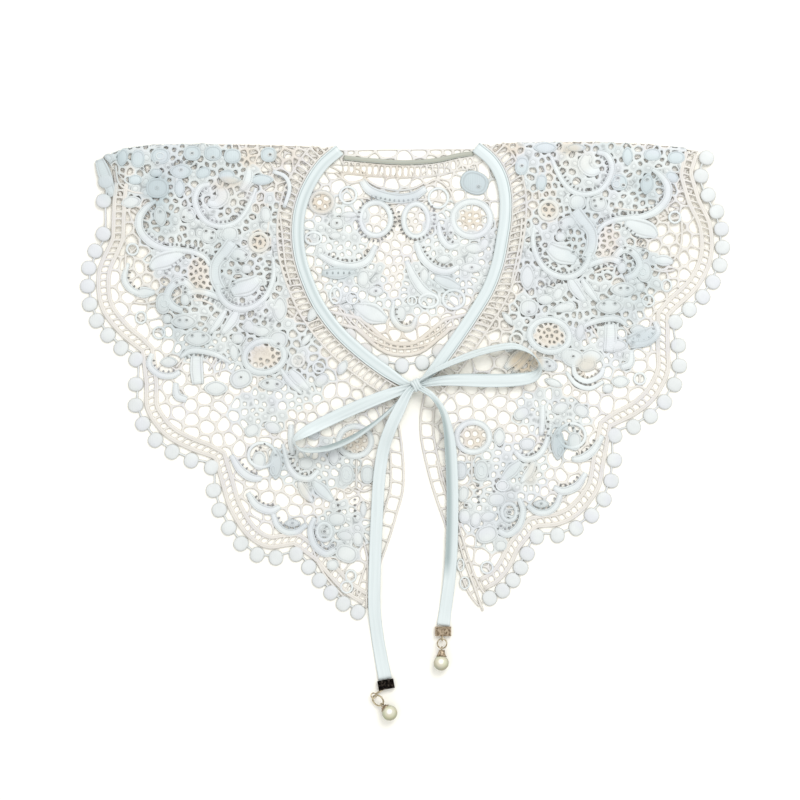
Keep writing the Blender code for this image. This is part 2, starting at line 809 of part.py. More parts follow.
def ribbon_strip(name, rows):
    """Ribbon swept along its table, closed at both ends."""
    path = smooth([row[:3] for row in rows], 3)
    turns = smooth([row[3:] for row in rows], 3)
    form = bmesh.new()
    sections = []
    for index, centre in enumerate(path):
        ahead = path[min(index + 1, len(path) - 1)]
        behind = path[max(index - 1, 0)]
        along = (ahead - behind).normalized()
        level = Vector((-along.y, along.x, 0.0)).normalized()
        roll = math.radians(turns[index].x)
        across = level * math.cos(roll) + along.cross(level) * math.sin(roll)
        facing = along.cross(across) * RIBBON_THICK / 2
        reach = across * turns[index].y / 2
        corners = (reach + facing, facing - reach, -reach - facing, reach - facing)
        sections.append([form.verts.new((centre + corner) * MM) for corner in corners])
    for first, second in zip(sections, sections[1:]):
        for corner in range(4):
            after = (corner + 1) % 4
            form.faces.new((first[corner], first[after], second[after], second[corner]))
    form.faces.new(sections[0])
    form.faces.new(sections[-1])
    bmesh.ops.recalc_face_normals(form, faces=form.faces)
    return finish_mesh(name, form)


def applied(rotation=True):
    """The object just added, with its place and size applied."""
    thing = bpy.context.object
    bpy.ops.object.transform_apply(location=True, rotation=rotation, scale=True)
    return thing


def soft_box(centre, size, turn, rounding):
    """Box with rounded edges."""
    bpy.ops.mesh.primitive_cube_add(
        size=1.0, location=Vector(centre) * MM, rotation=(0, 0, math.radians(turn))
    )
    bpy.context.object.scale = Vector(size) * MM
    box = applied()
    edge = box.modifiers.new("Rounded", "BEVEL")
    edge.width = rounding * MM
    edge.segments = 2
    bpy.ops.object.modifier_apply(modifier=edge.name)
    return box


def turn_from(axis, direction):
    """Rotation that carries one axis onto a direction."""
    return Vector(axis).rotation_difference(Vector(direction)).to_euler()


def wire_ring(centre, major, minor, axis, steps):
    """Round wire ring about an axis."""
    bpy.ops.mesh.primitive_torus_add(
        major_radius=major * MM,
        minor_radius=minor * MM,
        major_segments=steps,
        minor_segments=6,
        location=centre * MM,
        rotation=turn_from((0, 0, 1), axis),
    )
    return applied()


def heading(degrees):
    return Vector((math.cos(math.radians(degrees)), math.sin(math.radians(degrees)), 0.0))


def across_from(wire, toward):
    """The wire's direction, made square to the pull."""
    return (wire - toward * wire.dot(toward)).normalized()


def clamp_with_loop(centre, turn, aside, loop_centre, wire):
    """Clamp, the short neck below it and the wire loop the ring hangs on."""
    clamp = soft_box(centre, CLAMP_SIZE, turn, 0.6)
    foot = Vector(centre) + heading(turn - 90) * (CLAMP_SIZE[1] / 2 - 0.8) + heading(turn) * aside
    toward = (loop_centre - foot).normalized()
    loop = wire_ring(loop_centre, LOOP_MAJOR, LOOP_MINOR, across_from(wire, toward), 14)
    end = loop_centre - toward * LOOP_MAJOR
    bpy.ops.mesh.primitive_cube_add(
        size=1.0, location=(foot + end) / 2 * MM, rotation=turn_from((0, 1, 0), toward)
    )
    wide, deep = NECK_SECTION
    bpy.context.object.scale = Vector((wide, (end - foot).length + 0.8, deep)) * MM
    return boolean(clamp, joined([loop, applied()]), "UNION")


def ball(centre, radius):
    bpy.ops.mesh.primitive_uv_sphere_add(
        segments=14, ring_count=8, radius=radius * MM, location=centre * MM
    )
    return applied()


def cap_with_eye(eye_centre, toward, wire, pearl_centre, radius):
    """Cone over the pearl's top with the wire eye it hangs from."""
    start = eye_centre + toward * (EYE_MAJOR - 0.1)
    end = pearl_centre - toward * radius * 0.86
    bpy.ops.mesh.primitive_cone_add(
        vertices=12,
        radius1=CAP_RADII[0] * MM,
        radius2=CAP_RADII[1] * MM,
        depth=(end - start).length * MM,
        location=(start + end) / 2 * MM,
        rotation=turn_from((0, 0, -1), toward),
    )
    cap = boolean(applied(), ball(pearl_centre, radius + LAYER_GAP), "DIFFERENCE")
    eye = wire_ring(eye_centre, EYE_MAJOR, EYE_MINOR, across_from(wire, toward), 14)
    return boolean(cap, eye, "UNION")


def ribbon_end(side, row, collection, materials):
    """Clamp, jump ring, bead cap and pearl at the end of a tail."""
    clamp_at, turn, aside, ring_at, major, way, tilt, pearl_at, radius = row
    ring_centre = Vector(ring_at)
    pearl_centre = Vector(pearl_at)
    run = heading(way)
    sideways = run.cross(Vector((0, 0, 1)))
    lean = math.radians(tilt)
    axis = Vector((0, 0, 1)) * math.cos(lean) + sideways * math.sin(lean)
    wire = run.cross(axis)
    upper = ring_centre - run * (major + LOOP_SLACK)
    lower = ring_centre + run * major
    toward = (pearl_centre - lower).normalized()
    eye_centre = lower + toward * EYE_SLACK
    clamp = clamp_with_loop(clamp_at, turn, aside, upper, wire)
    place(clamp, side + "_clamp", collection, materials["dark_brass"])
    ring = wire_ring(ring_centre, major, RING_MINOR, axis, 20)
    place(ring, side + "_jump_ring", collection, materials["brass"])
    cap = cap_with_eye(eye_centre, toward, wire, pearl_centre, radius)
    place(cap, side + "_bead_cap", collection, materials["brass"])
    place(ball(pearl_centre, radius), side + "_pearl", collection, materials["pearl"])
    print(side, "loop", tuple(round(c, 2) for c in upper), "eye", tuple(round(c, 2) for c in eye_centre))
    print(side, "wire", tuple(round(c, 3) for c in wire), "toward", tuple(round(c, 3) for c in toward))


def main():
    clear_scene()
    parts = bpy.data.collections.new("parts")
    bpy.context.scene.collection.children.link(parts)
    materials = make_materials()

    back, rest = back_panel()
    left_tables = (
        LEFT_SCALLOPS, FOLD_LEFT, BINDING_LEFT, INNER_LEFT,
        satin_shapes(LEFT_LEAVES, LEFT_ARCS, LEFT_RINGS),
    )
    right_tables = (
        RIGHT_SCALLOPS, FOLD_RIGHT, BINDING_RIGHT, INNER_RIGHT,
        satin_shapes(RIGHT_LEAVES, RIGHT_ARCS, RIGHT_RINGS),
    )
    for name, walk, tables in (("lace_front_left", 1, left_tables), ("lace_front_right", -1, right_tables)):
        place(front_panel(name, walk, tables, rest), name, parts, materials["net"])
    place(back, "lace_back", parts, materials["net"])

    ribbon = materials["ribbon"]
    for name, points in (("binding_left", BINDING_LEFT), ("binding_right", BINDING_RIGHT)):
        bound = bound_edge(name, points, RIBBON_WIDTH, BINDING_LEVEL, BINDING_THICK)
        place(bound, name, parts, ribbon)
    bound = bound_edge("binding_back", BACK_NECK, BACK_BINDING_WIDTH, 0.0, BACK_BINDING_THICK)
    place(bound, "binding_back", parts, ribbon)
    strips = (
        ("bow_loop_left", LEFT_LOOP),
        ("bow_loop_right", RIGHT_LOOP),
        ("tail_left", LEFT_TAIL),
        ("tail_right", RIGHT_TAIL),
    )
    for name, rows in strips:
        place(ribbon_strip(name, rows), name, parts, ribbon)
    place(soft_box(KNOT_CENTRE, KNOT_SIZE, 35, 1.6), "bow_knot", parts, ribbon)

    ribbon_end("left", LEFT_END, parts, materials)
    ribbon_end("right", RIGHT_END, parts, materials)


if __name__ == "__main__":
    main()
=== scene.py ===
import math
import random

import bmesh
import bpy
import numpy as np
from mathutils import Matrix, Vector


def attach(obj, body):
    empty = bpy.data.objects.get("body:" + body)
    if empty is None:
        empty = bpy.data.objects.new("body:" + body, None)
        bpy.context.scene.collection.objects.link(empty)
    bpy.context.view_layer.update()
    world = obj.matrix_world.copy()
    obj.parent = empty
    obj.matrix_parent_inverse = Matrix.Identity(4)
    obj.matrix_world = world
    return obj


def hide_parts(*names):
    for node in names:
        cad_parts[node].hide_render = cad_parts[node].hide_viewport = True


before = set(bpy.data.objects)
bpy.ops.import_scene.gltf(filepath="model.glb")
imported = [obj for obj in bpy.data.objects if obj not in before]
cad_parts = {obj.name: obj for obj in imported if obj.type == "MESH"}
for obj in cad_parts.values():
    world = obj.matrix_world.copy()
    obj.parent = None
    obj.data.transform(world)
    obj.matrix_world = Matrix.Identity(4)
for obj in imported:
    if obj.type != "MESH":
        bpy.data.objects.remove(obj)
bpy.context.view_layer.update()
bpy.ops.object.select_all(action="DESELECT")

mm = 0.001  # every table below is in millimetres
tableShift = (-0.25, 0.25)  # from the tables' zero to the middle of the object
upAxis = Vector((0, 0, 1))


# Small tools for lines drawn on the table


def curveThrough(points, steps=6):
    ends = [Vector(point) for point in points]
    ends = [2 * ends[0] - ends[1]] + ends + [2 * ends[-1] - ends[-2]]
    curve = []
    for a, b, c, d in zip(ends, ends[1:], ends[2:], ends[3:]):
        for step in range(steps):
            t = step / steps
            straight = 2 * b + (c - a) * t
            bent = (2 * a - 5 * b + 4 * c - d) * t**2 + (3 * b - a - 3 * c + d) * t**3
            curve.append(0.5 * (straight + bent))
    curve.append(ends[-2])
    return curve


def lengthOf(line):
    return sum((b - a).length for a, b in zip(line, line[1:]))


def evenly(line, count):
    total = lengthOf(line)
    found = [line[0].copy()]
    done = 0.0
    span = 0
    for index in range(1, count - 1):
        target = total * index / (count - 1)
        step = (line[span + 1] - line[span]).length
        while done + step < target:
            done += step
            span += 1
            step = (line[span + 1] - line[span]).length
        found.append(line[span].lerp(line[span + 1], (target - done) / step))
    found.append(line[-1].copy())
    return found


def leftNormals(line, loop=False):
    found = []
    last = len(line) - 1
    for index in range(len(line)):
        if loop:
            along = line[(index + 1) % len(line)] - line[index - 1]
        else:
            along = line[min(index + 1, last)] - line[max(index - 1, 0)]
        along = along.normalized()
        found.append(Vector((-along.y, along.x)))
    return found


def offsetLine(line, distance, loop=False):
    return [point + normal * distance for point, normal in zip(line, leftNormals(line, loop))]


def turnedPoint(u, v, x, y, turn):
    spin = math.radians(turn)
    return Vector((x + u * math.cos(spin) - v * math.sin(spin), y + u * math.sin(spin) + v * math.cos(spin)))


def sidesOf(polygon):
    return zip(polygon, polygon[1:] + polygon[:1])


def signedArea(polygon):
    return 0.5 * sum(a[0] * b[1] - b[0] * a[1] for a, b in sidesOf(polygon))


def insideMany(points, polygon):
    x, y = points[:, 0], points[:, 1]
    hit = np.zeros(len(points), bool)
    for a, b in sidesOf([(corner[0], corner[1]) for corner in polygon]):
        if a[1] != b[1]:
            crossing = a[0] + (y - a[1]) * (b[0] - a[0]) / (b[1] - a[1])
            hit ^= ((a[1] > y) != (b[1] > y)) & (x < crossing)
    return hit


def gapMany(points, line):
    best = np.full(len(points), 1e9)
    for a, b in zip(line, line[1:]):
        a, b = np.array(a[:2]), np.array(b[:2])
        along = b - a
        reach = np.clip((points - a) @ along / max(along @ along, 1e-9), 0, 1)
        best = np.minimum(best, np.hypot(*(points - a - reach[:, None] * along).T))
    return best


# Materials: each one starts from what the real thing is made of


def fromHex(code):
    shades = [int(code[i : i + 2], 16) / 255 for i in (1, 3, 5)]
    return tuple(s / 12.92 if s <= 0.04045 else ((s + 0.055) / 1.055) ** 2.4 for s in shades) + (1.0,)


def addNode(tree, kind, settings=None, **sockets):
    node = tree.nodes.new(kind)
    for key, value in (settings or {}).items():
        setattr(node, key, value)
    for key, value in sockets.items():
        socket = node.inputs[int(key[1:])] if key[1:].isdigit() else node.inputs[key.replace("_", " ")]
        if isinstance(value, bpy.types.NodeSocket):
            tree.links.new(value, socket)
        else:
            socket.default_value = value
    return node


def newMaterial(name):
    material = bpy.data.materials.new(name)
    material.use_nodes = True
    material.node_tree.nodes.clear()
    return material, material.node_tree


def mixed(tree, share, first, second):
    settings = {"data_type": "RGBA", "blend_type": "MIX"}
    return addNode(tree, "ShaderNodeMix", settings, _0=share, _6=first, _7=second).outputs[2]


def dimmed(code, share):
    return tuple(c * share for c in fromHex(code)[:3]) + (1.0,)


def finishMaterial(tree, colour, rough, bump, **fixed):
    shader = addNode(tree, "ShaderNodeBsdfPrincipled", Base_Color=colour, Roughness=rough, **fixed)
    if bump is not None:
        tree.links.new(bump, shader.inputs["Normal"])
    addNode(tree, "ShaderNodeOutputMaterial", Surface=shader.outputs[0])


threadColours = {  # on top, and where it turns down out of the light
    "net": ("#e6e3dc", "#cdc6bb"),
    "satin": ("#dfe4e2", "#9fa4a4"),
    "shoulder": ("#cfdadc", "#9ea6a8"),
    "bead": ("#dfe3e2", "#b0b0aa"),
    "scroll": ("#e2e8e7", "#a5a9a9"),
    # under: dark domes set on top that paint the shadow of small holes, dots and eyelets
    "under": ("#7d7d7a", "#706e69"),
}
# warm tints the lace brownish as painted shade; cool and lilac are the thread's own tints
toneColours = {"cool": "#b0bdc0", "warmShade": "#cdbda2", "lilac": "#d2d3dd"}
threadScale = 1.3  # mm from stitch to stitch, coarser than the real 0.3 mm so that it shows


# Mercerised cotton thread: soft, a little fuzzy, with painted shade, brownish, where it turns down out of the
# light.
def threadMaterial(name, colours, stitched):
    material, tree = newMaterial(name)
    place = addNode(tree, "ShaderNodeTexCoord").outputs["Object"]
    along = addNode(tree, "ShaderNodeUVMap", {"uv_map": "threadUV"}).outputs[0]
    shade = addNode(tree, "ShaderNodeAttribute", {"attribute_name": "shade"}).outputs["Fac"]
    tone = addNode(tree, "ShaderNodeAttribute", {"attribute_name": "tone"}).outputs["Fac"]
    patch = addNode(tree, "ShaderNodeTexNoise", Vector=place, Scale=75.0, Detail=2.0, Roughness=0.6)
    fuzz = addNode(tree, "ShaderNodeTexNoise", Vector=place, Scale=1400.0, Detail=3.0, Roughness=0.7)
    stitch = addNode(
        tree,
        "ShaderNodeTexWave",
        {"wave_type": "BANDS", "bands_direction": "X"},
        Vector=along,
        Scale=2 * math.pi / 20 / threadScale,
        Distortion=1.2,
        Detail=1.0,
    )
    drift = addNode(tree, "ShaderNodeTexNoise", Vector=place, Scale=38.0, Detail=1.0)
    limits = {"From_Min": 0.48, "From_Max": 0.62, "To_Max": 0.35}
    faded = addNode(tree, "ShaderNodeMapRange", Value=drift.outputs["Fac"], **limits)
    body = mixed(tree, patch.outputs["Fac"], fromHex(colours[0]), dimmed(colours[0], 0.8))
    body = mixed(tree, faded.outputs[0], body, fromHex(toneColours["lilac"]))
    cool = addNode(tree, "ShaderNodeMath", {"operation": "MULTIPLY", "use_clamp": True}, _0=tone, _1=1.0)
    warmShade = addNode(tree, "ShaderNodeMath", {"operation": "MULTIPLY", "use_clamp": True}, _0=tone, _1=-1.0)
    body = mixed(tree, cool.outputs[0], body, fromHex(toneColours["cool"]))
    body = mixed(tree, warmShade.outputs[0], body, fromHex(toneColours["warmShade"]))
    # painted shade: the shade attribute mixes toward the second colour in grooves, rims, seams and undersides
    paintedShadeColour = mixed(tree, shade, body, fromHex(colours[1]))
    height = addNode(
        tree,
        "ShaderNodeMix",
        {"data_type": "FLOAT"},
        _0=0.65 if stitched else 0.1,
        _2=fuzz.outputs["Fac"],
        _3=stitch.outputs["Fac"],
    )
    rough = addNode(
        tree,
        "ShaderNodeMapRange",
        Value=patch.outputs["Fac"],
        To_Min=0.5 if stitched else 0.75,
        To_Max=0.65 if stitched else 0.9,
    )
    bump = addNode(tree, "ShaderNodeBump", Height=height.outputs[0], Strength=0.35, Distance=0.0003)
    finishMaterial(tree, paintedShadeColour, rough.outputs[0], bump.outputs[0], Sheen_Weight=0.25, Sheen_Roughness=0.4)
    return material


netThread = threadMaterial("cottonNetThread", threadColours["net"], False)
satinThread = threadMaterial("satinStitchThread", threadColours["satin"], True)
shoulderThread = threadMaterial("denseShoulderThread", threadColours["shoulder"], True)
beadThread = threadMaterial("stitchedBeadThread", threadColours["bead"], True)
scrollThread = threadMaterial("scrollStitchThread", threadColours["scroll"], True)
holeShadowThread = threadMaterial("paintedHoleShadow", threadColours["under"], False)
laceMaterials = (netThread, satinThread, shoulderThread, beadThread, scrollThread, holeShadowThread)
netSlot, satinSlot, shoulderSlot, beadSlot, scrollSlot, holeShadowSlot = range(6)

print("materials ready")


# Lace: one mesh a panel, gathered piece by piece


def newLace():
    return {"points": [], "shades": [], "faces": [], "slots": [], "uvs": []}


def addFaces(lace, faces, slot, uvs):
    lace["faces"] += faces
    lace["slots"] += [slot] * len(faces)
    lace["uvs"] += uvs


# Sections of stitched pieces, from side to side and back underneath: place, height, shade
underProfile = ((0.75, 0.0, 1.0), (-0.75, 0.0, 1.0))
padProfile = (
    (-1.0, 0.3, 1.0), (-0.86, 0.85, 0.25), (-0.6, 0.97, 0.0), (0.0, 1.0, 0.0),
    (0.6, 0.97, 0.0), (0.86, 0.85, 0.25), (1.0, 0.3, 1.0),
) + underProfile
wideProfile = (  # a raised rim each side, a thin seam inside it
    (-1.0, 0.3, 1.0), (-0.92, 0.88, 0.15), (-0.76, 1.0, 0.0), (-0.62, 0.8, 0.6), (-0.48, 0.88, 0.05),
    (0.0, 0.92, 0.0), (0.48, 0.88, 0.05), (0.62, 0.8, 0.6), (0.76, 1.0, 0.0), (0.92, 0.88, 0.15),
    (1.0, 0.3, 1.0),
) + underProfile
flatCordProfile = (
    (-1.0, 0.3, 1.0), (-0.82, 0.85, 0.2), (-0.4, 1.0, 0.0), (0.0, 0.84, 0.5), (0.4, 1.0, 0.0),
    (0.82, 0.85, 0.2), (1.0, 0.3, 1.0),
) + underProfile
cordProfile = (
    (-1.0, 0.3, 1.0), (-0.62, 0.85, 0.25), (0.0, 1.0, 0.0), (0.62, 0.85, 0.25), (1.0, 0.3, 1.0),
    (0.0, 0.0, 1.0),
)


def addPad(lace, line, halfWidths, foot, top, slot, profile=padProfile, loop=False):
    count = len(line)
    if not hasattr(halfWidths, "__len__"):
        halfWidths = [halfWidths] * count
    normals = leftNormals(line, loop)
    first = len(lace["points"])
    around = len(profile)
    walked = [0.0]
    for a, b in sidesOf(list(line)):
        walked.append(walked[-1] + (b - a).length)
    widest = max(halfWidths)
    for point, normal, half in zip(line, normals, halfWidths):
        high = (top - foot) * (0.55 + 0.45 * half / widest)
        for across, up, shade in profile:
            lace["points"].append((*(point - normal * across * half), foot + high * up))
            lace["shades"].append(shade)
    faces = []
    uvs = []
    for row in range(count if loop else count - 1):
        after = (row + 1) % count
        for k in range(around):
            n = (k + 1) % around
            faces.append((first + row * around + k, first + after * around + k,
                          first + after * around + n, first + row * around + n))
            sides = (profile[k][0] * widest, profile[n][0] * widest)
            uvs += [(walked[row], sides[0]), (walked[row + 1], sides[0]),
                    (walked[row + 1], sides[1]), (walked[row], sides[1])]
    if not loop:
        for ends, row in ((range(around), 0), (range(around)[::-1], count - 1)):
            faces.append(tuple(first + row * around + k for k in ends))
            uvs += [(walked[row], profile[k][0] * widest) for k in ends]
    addFaces(lace, faces, slot, uvs)


plainDome = ((0.7, 0.0, 1.0), (1.0, 0.25, 0.9), (0.94, 0.7, 0.3), (0.78, 0.92, 0.03), (0.4, 0.99, 0.0))
rimmedDome = (
    (0.7, 0.0, 1.0), (1.0, 0.3, 0.9), (0.96, 0.85, 0.2), (0.87, 1.0, 0.0), (0.78, 0.82, 0.6),
    (0.68, 0.9, 0.05), (0.3, 0.95, 0.0),
)


def addDome(lace, x, y, halfLength, halfWidth, turn, foot, top, slot, sides=12, rows=plainDome, blunt=1.0):
    first = len(lace["points"])
    for reach, up, shade in rows:
        for step in range(sides):
            angle = 2 * math.pi * step / sides
            c, s = math.cos(angle), math.sin(angle)
            u = math.copysign(abs(c) ** blunt, c) * halfLength * reach
            v = math.copysign(abs(s) ** blunt, s) * halfWidth * reach
            lace["points"].append((*turnedPoint(u, v, x, y, turn), foot + (top - foot) * up))
            lace["shades"].append(shade)
    lace["points"].append((x, y, top))
    lace["shades"].append(0.0)
    crown = len(lace["points"]) - 1
    faces = []
    for row in range(len(rows) - 1):
        for k in range(sides):
            n = (k + 1) % sides
            low, high = first + row * sides, first + (row + 1) * sides
            faces.append((low + k, low + n, high + n, high + k))
    high = first + (len(rows) - 1) * sides
    faces += [(high + k, high + (k + 1) % sides, crown) for k in range(sides)]
    faces.append(tuple(first + k for k in range(sides))[::-1])
    uvs = [lace["points"][corner][:2] for face in faces for corner in face]
    addFaces(lace, faces, slot, uvs)


netShape = {
    "top": 1.15, "shoulder": 1.02, "rim": 0.5, "seam": 0.65, "span": 2.3, "shortestSide": 0.35,
    "fewestCorners": 6, "sharpest": 0.35, "smallestHole": 2.0, "smallestInSatin": 4.5,
}
# Cells without a hole. Rows: share of the way to the middle, height, shade. Middle: height, shade.
filledCell = {
    "rows": ((0.0, 1.2, 0.3), (0.16, 1.46, 0.0), (0.36, 1.2, 0.6), (0.5, 1.44, 0.0)), "middle": (1.52, 0.0),
    "inset": 0.4,
}
shutCell = {"rows": ((0.3, 1.1, 0.05), (0.62, 0.8, 0.55)), "middle": (0.7, 0.8)}


def ridgeAround(polygon):
    # the line along the top of a cell's bars, cut the same way from both of its sides
    corners = []
    for corner in polygon:
        if not corners or math.dist(corner, corners[-1]) > netShape["shortestSide"]:
            corners.append(corner)
    if len(corners) > 1 and math.dist(corners[0], corners[-1]) < netShape["shortestSide"]:
        corners.pop()
    if len(corners) < 3:
        return []
    if signedArea(corners) < 0:
        corners.reverse()
    ridge = []
    for a, b in sidesOf(corners):
        spans = max(1, round(math.dist(a, b) / netShape["span"]))
        low, high = min(a, b), max(a, b)
        for step in range(spans):
            t = step / spans if a == low else 1 - step / spans
            ridge.append((low[0] + (high[0] - low[0]) * t, low[1] + (high[1] - low[1]) * t))
    while len(ridge) < netShape["fewestCorners"]:
        longest = max(range(len(ridge)), key=lambda i: math.dist(ridge[i], ridge[(i + 1) % len(ridge)]))
        a, b = ridge[longest], ridge[(longest + 1) % len(ridge)]
        ridge.insert(longest + 1, ((a[0] + b[0]) / 2, (a[1] + b[1]) / 2))
    return ridge


def holeInside(edge, half):
    # the edge moved inward, with its corners eased
    step = np.roll(edge, -1, 0) - edge
    step /= np.maximum(np.hypot(*step.T), 1e-6)[:, None]
    inward = np.column_stack((-step[:, 1], step[:, 0]))
    inward = inward + np.roll(inward, 1, 0)
    inward /= np.maximum((inward**2).sum(1) / 2, netShape["sharpest"])[:, None]
    hole = edge + inward * half
    for _ in range(2):
        hole = hole * 0.4 + (np.roll(hole, 1, 0) + np.roll(hole, -1, 0)) * 0.3
    return hole


def addCell(lace, polygon, half, ridges, fill=False, slot=netSlot):
    ridge = ridgeAround(polygon)
    if not ridge:
        return
    edge = np.array(ridge)
    middle = edge.mean(0)
    hole = holeInside(edge, half)
    area = signedArea(hole.tolist())
    points, shades = lace["points"], lace["shades"]
    tops = []
    for x, y in ridge:
        key = (round(x, 2), round(y, 2))
        if key not in ridges["points"]:
            ridges["points"][key] = len(points)
            points.extend(((x, y, netShape["top"]), (x, y, 0.0)))
            shades.extend((0.0, 1.0))
        tops.append(ridges["points"][key])
    count = len(ridge)
    ahead = [(k, (k + 1) % count) for k in range(count)]
    smallest = netShape["smallestInSatin" if slot == satinSlot else "smallestHole"]
    shut = area < smallest or area > signedArea(ridge)
    rows = [[*tops]]
    cover = filledCell if fill else shutCell
    if fill or shut:
        start = holeInside(edge, filledCell["inset"]) if fill and not shut else edge
        for inward, level, shade in cover["rows"]:
            rows.append(list(range(len(points), len(points) + count)))
            points.extend((x, y, level) for x, y in start + (middle - start) * inward)
            shades.extend([shade] * count)
    else:
        ridges["open"].update(tops)
        for ring, level, shade in ((edge * 0.3 + hole * 0.7, netShape["shoulder"], 0.08),
                                   (hole, netShape["rim"], 0.1 if slot == satinSlot else 0.85)):
            rows.append(list(range(len(points), len(points) + count)))
            points.extend((x, y, level) for x, y in ring)
            shades.extend([shade] * count)
    under = [top + 1 for top in tops]
    faces = []
    for outer, inner in zip(rows, rows[1:]):
        faces += [(outer[k], outer[n], inner[n], inner[k]) for k, n in ahead]
    if fill or shut:
        level, shade = cover["middle"]
        points.extend(((*middle, level), (*middle, 0.0)))
        shades.extend((shade, 1.0))
        over = len(points) - 2
        faces += [(rows[-1][k], rows[-1][n], over) for k, n in ahead]
        faces += [(under[n], under[k], over + 1) for k, n in ahead]
    else:
        faces += [(rows[-1][k], rows[-1][n], under[n], under[k]) for k, n in ahead]
    for k, n in ahead:
        ridges["sides"].add((tops[k], tops[n]))
    spin = (middle[0] * 7.1 + middle[1] * 3.3) % math.pi if fill else 0.0
    turn = (math.cos(spin), math.sin(spin))
    corners = [points[corner] for face in faces for corner in face]
    uvs = [(x * turn[0] + y * turn[1], y * turn[0] - x * turn[1]) for x, y, z in corners]
    addFaces(lace, faces, satinSlot if fill else slot, uvs)


def closeNet(lace, ridges):
    # walls down the sides that no other cell shares, and a low seam where no hole is near
    faces = []
    for a, b in ridges["sides"]:
        if a != b and (b, a) not in ridges["sides"]:
            faces.append((b, a, a + 1, b + 1))
    addFaces(lace, faces, netSlot, [lace["points"][corner][:2] for face in faces for corner in face])
    for corner in set(ridges["points"].values()) - ridges["open"]:
        x, y, _ = lace["points"][corner]
        lace["points"][corner] = (x, y, netShape["seam"])
        lace["shades"][corner] = 1.0


def clipCell(polygon, middle, away):
    kept = []
    for a, b in sidesOf(polygon):
        sideA = (a[0] - middle[0]) * away[0] + (a[1] - middle[1]) * away[1]
        sideB = (b[0] - middle[0]) * away[0] + (b[1] - middle[1]) * away[1]
        if sideA <= 0:
            kept.append(a)
        if sideA * sideB < 0:
            t = sideA / (sideA - sideB)
            kept.append((a[0] + (b[0] - a[0]) * t, a[1] + (b[1] - a[1]) * t))
    return kept


# Net seeds: plain cells as shares of the panel's spacing, dense ones in mm
netSpread = {
    "darts": 26000, "plain": (0.55, 0.85, 1.1, 1.25), "dense": (2.8, 3.6, 5.3, 6.4, 7.6, 9.0),
    "rounds": 2, "stay": 0.45, "drift": 0.55, "nearest": 16, "filledAbove": 5, "smallest": 2,
}


def inZones(points, zones):
    # each point's zone value, the last zone of the table that it is in, or nan
    values = np.full(len(points), np.nan)
    for x, y, halfWidth, halfHeight, value in zones:
        near = ((points[:, 0] - x) / halfWidth) ** 2 + ((points[:, 1] - y) / halfHeight) ** 2 < 1
        values[near] = value
    return values


def scatterSeeds(region, table, spacing, chance):
    corners = np.array([tuple(point) for point in region])
    low, high = corners.min(0), corners.max(0)
    throws = range(netSpread["darts"])
    darts = np.array([[chance.uniform(low[0], high[0]), chance.uniform(low[1], high[1])] for _ in throws])
    darts = darts[insideMany(darts, region)]
    reach = np.array([spacing * chance.choice(netSpread["plain"]) for _ in darts])
    dense = ~np.isnan(inZones(darts, table["zones"]))
    reach[dense] = np.array([chance.choice(netSpread["dense"]) for _ in darts])[dense]
    fine = inZones(darts, table["nets"])
    reach = np.where(np.isnan(fine), reach, fine)
    seeds = np.zeros((0, 2))
    reaches = np.zeros(0)
    for dart, own in zip(darts, reach):
        if not len(seeds) or (np.hypot(*(seeds - dart).T) > (reaches + own) / 2).all():
            seeds = np.vstack((seeds, dart))
            reaches = np.append(reaches, own)
    return seeds, reaches


def cellsAround(seeds, reaches):
    cells = []
    for index, seed in enumerate(seeds):
        reach = max(reaches[index], 5.0) * 1.6
        cell = [(seed[0] + x * reach, seed[1] + y * reach) for x, y in ((-1, -1), (1, -1), (1, 1), (-1, 1))]
        nearest = np.argsort(np.hypot(*(seeds - seed).T))[1 : netSpread["nearest"] + 1]
        for other in seeds[nearest]:
            cell = clipCell(cell, (seed + other) / 2, other - seed)
        cells.append(cell)
    return cells


def netCells(region, table, spacing):
    chance = random.Random(table["seed"])
    seeds, reaches = scatterSeeds(region, table, spacing, chance)
    for _ in range(netSpread["rounds"]):
        moved = []
        for seed, cell in zip(seeds, cellsAround(seeds, reaches)):
            middle = np.mean(cell, 0) if len(cell) > 2 else seed
            moved.append(seed * netSpread["stay"] + middle * netSpread["drift"])
        moved = np.array(moved)
        stays = insideMany(moved, region)
        seeds = np.where(stays[:, None], moved, seeds)
    cells = []
    share = inZones(seeds, table["zones"])
    plain = ~np.isnan(inZones(seeds, table["nets"]))
    for index, cell in enumerate(cellsAround(seeds, reaches)):
        wide = reaches[index] > netSpread["filledAbove"]
        fill = wide and not plain[index] and chance.random() < share[index]
        if len(cell) < 3:
            continue
        if not insideMany(np.array(cell), region).all():
            clipped = [tuple(point) for point in region]
            for a, b in sidesOf(cell):
                clipped = clipCell(clipped, a, (b[1] - a[1], a[0] - b[0]))
                if len(clipped) < 3:
                    break
            cell = clipped
        if len(cell) > 2 and abs(signedArea(cell)) > netSpread["smallest"]:
            slot = netSlot if plain[index] or np.isnan(share[index]) else satinSlot
            cells.append(([(round(x, 3), round(y, 3)) for x, y in cell], fill, slot))
    return cells


edgeShape = {
    "beadReach": 9.6, "beadInset": 2.3, "beadLength": 5.7, "beadWidth": 5.35, "beadTop": 2.1,
    "bandWidth": 7.6, "cordHalf": 1.65, "rungPitch": 5.2, "loopWidth": 9.5, "loopPitch": 10.5,
    "neckWidth": 10.5, "neckPitch": 4.6, "cellSpacing": 11.0, "barHalf": 0.62, "denseBar": 0.9,
    "satinTop": 1.75, "bandSwell": 1.25, "cordTop": 1.6, "innerCordHalf": 0.9, "neckInset": 4.5,
    "foldOver": 1.1, "backStep": 1.6, "backNeckInset": 2.0, "backNeckWidth": 9.0, "backNeckPitch": 4.2,
    "linkInset": 1.4, "linkHalf": 0.75, "linkTop": 1.4,
}
outlineStep = 3  # mm from point to point along an edge
linePoints = {"binding": 60, "inner": 30, "fold": 40}

